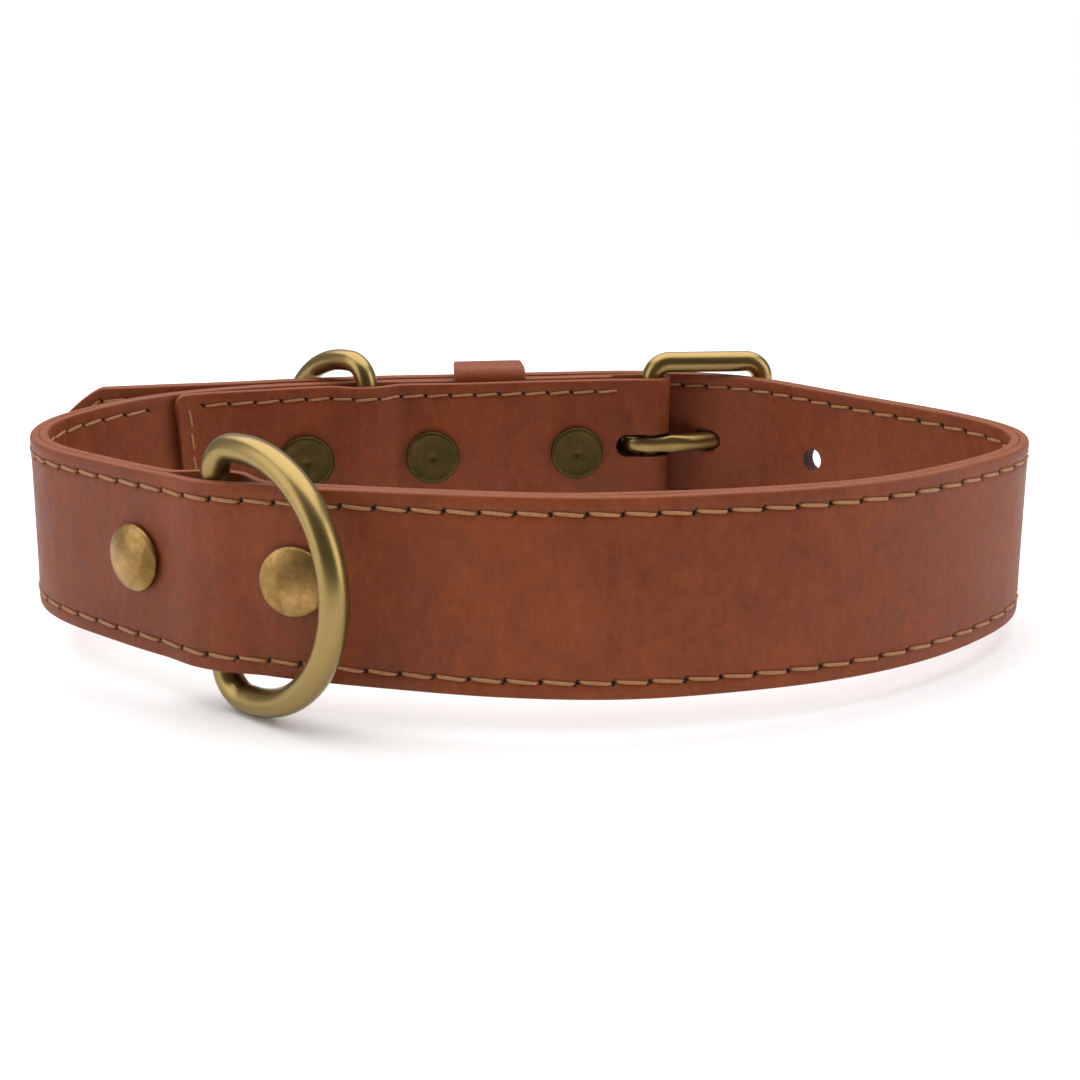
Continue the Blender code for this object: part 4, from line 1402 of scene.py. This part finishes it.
class COLLAR_OT_stage(bpy.types.Operator):
    """Makes the pale floor, the white studio and the camera"""

    bl_idname = "collar.stage"
    bl_label = "Stage"

    def execute(self, context):
        scene = context.scene
        studio = scene.collar_studio
        self.floor(scene.collar_finish)
        self.room(scene, studio.sky)
        for box in SOFTBOXES:
            self.softbox(box, getattr(studio, box.light) * box.share)
        self.camera(scene, studio)
        scene.view_settings.view_transform = "Standard"
        return {"FINISHED"}

    def floor(self, finish):
        material, shader, place = blank(
            "matt_paper", {"Roughness": 0.95, "Specular IOR Level": 0.1}
        )
        tooth = ranged(material, noise(material, place, 0.8 * MM, 2), 0.2, 0.8, 0.96, 1.0)
        paper = mixed(material, 1.0, finish.floor, tooth, "MULTIPLY")
        feed(material, shader, {"Base Color": paper})
        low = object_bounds()[0].z
        signs = ((-1, -1), (1, -1), (1, 1), (-1, 1))
        corners = [(x * FLOOR_REACH, y * FLOOR_REACH, low) for x, y in signs]
        piece = piece_from("floor", corners, [[0, 1, 2, 3]])
        piece.data.materials.append(material)
        piece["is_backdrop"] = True

    def room(self, scene, strength):
        """White walls, darker towards the viewer, where a studio has its camera and no light."""
        world = bpy.data.worlds.new("studio")
        world.use_nodes = True
        scene.world = world
        background = world.node_tree.nodes["Background"]
        way = add(world, "ShaderNodeTexCoord").outputs["Generated"]
        parts = add(world, "ShaderNodeSeparateXYZ", None, {0: way})
        back = ranged(world, parts.outputs["Y"], -0.75, 0.35, 0.16, 1.0)
        high = ranged(world, parts.outputs["Z"], -0.1, 0.7, 0.85, 1.0)
        level = add(world, "ShaderNodeMath", {"operation": "MULTIPLY"}, {0: back, 1: high})
        seen = add(world, "ShaderNodeLightPath").outputs["Is Camera Ray"]
        dim = add(world, "ShaderNodeMath", {"operation": "MULTIPLY", 1: strength})
        world.node_tree.links.new(level.outputs[0], dim.inputs[0])
        choice = add(world, "ShaderNodeMix", {3: 1.0}, {0: seen, 2: dim.outputs[0]})
        world.node_tree.links.new(choice.outputs[0], background.inputs["Strength"])
        background.inputs["Color"].default_value = (1, 1, 1, 1)

    def softbox(self, box, power):
        light = bpy.data.lights.new(box.name, "AREA")
        light.shape = "RECTANGLE"
        light.size, light.size_y = box.size
        light.energy = power
        lamp = bpy.data.objects.new(box.name, light)
        lamp.location = box.spot
        way = SOFTBOX_AIM - Vector(box.spot)
        lamp.rotation_euler = way.to_track_quat("-Z", "Y").to_euler()
        bpy.context.scene.collection.objects.link(lamp)

    def camera(self, scene, studio):
        data = bpy.data.cameras.new("camera")
        data.lens = studio.lens
        data.sensor_width = 36
        data.clip_start = 0.01
        camera = bpy.data.objects.new("camera", data)
        scene.collection.objects.link(camera)
        down = Matrix.Rotation(math.radians(90) - studio.pitch, 4, "X")
        roll = Matrix.Rotation(-studio.roll, 4, "Z")
        spot = Matrix.Translation(CAMERA_SPOT)
        camera.matrix_world = Strap().matrix @ spot @ down @ roll
        scene.camera = camera


class COLLAR_PT_panel(bpy.types.Panel):
    bl_idname = "COLLAR_PT_panel"
    bl_label = "Leather Dog Collar"
    bl_space_type = "VIEW_3D"
    bl_region_type = "UI"
    bl_category = "Collar"

    def draw(self, context):
        layout = self.layout
        for title, group in (
            ("Sewing", context.scene.collar_sewing),
            ("Finish", context.scene.collar_finish),
            ("Studio", context.scene.collar_studio),
        ):
            box = layout.box()
            box.label(text=title)
            for name in group.__annotations__:
                box.prop(group, name)
        for operator in OPERATORS:
            layout.operator(operator.bl_idname)


GROUPS = (CollarSewing, CollarFinish, CollarStudio)
OPERATORS = (
    COLLAR_OT_outer_strap,
    COLLAR_OT_lining,
    COLLAR_OT_stitches,
    COLLAR_OT_keeper,
    COLLAR_OT_buckle,
    COLLAR_OT_d_rings,
    COLLAR_OT_rivets,
    COLLAR_OT_stage,
)


def register():
    for kind in (*GROUPS, *OPERATORS, COLLAR_PT_panel):
        bpy.utils.register_class(kind)
    bpy.types.Scene.collar_sewing = PointerProperty(type=CollarSewing)
    bpy.types.Scene.collar_finish = PointerProperty(type=CollarFinish)
    bpy.types.Scene.collar_studio = PointerProperty(type=CollarStudio)


def unregister():
    del bpy.types.Scene.collar_studio
    del bpy.types.Scene.collar_finish
    del bpy.types.Scene.collar_sewing
    for kind in reversed((*GROUPS, *OPERATORS, COLLAR_PT_panel)):
        bpy.utils.unregister_class(kind)


def main():
    register()
    bpy.ops.collar.outer_strap()
    bpy.ops.collar.lining()
    bpy.ops.collar.stitches()
    bpy.ops.collar.keeper()
    bpy.ops.collar.buckle()
    bpy.ops.collar.d_rings()
    bpy.ops.collar.rivets()
    bpy.ops.collar.stage()


if __name__ == "__main__":
    main()
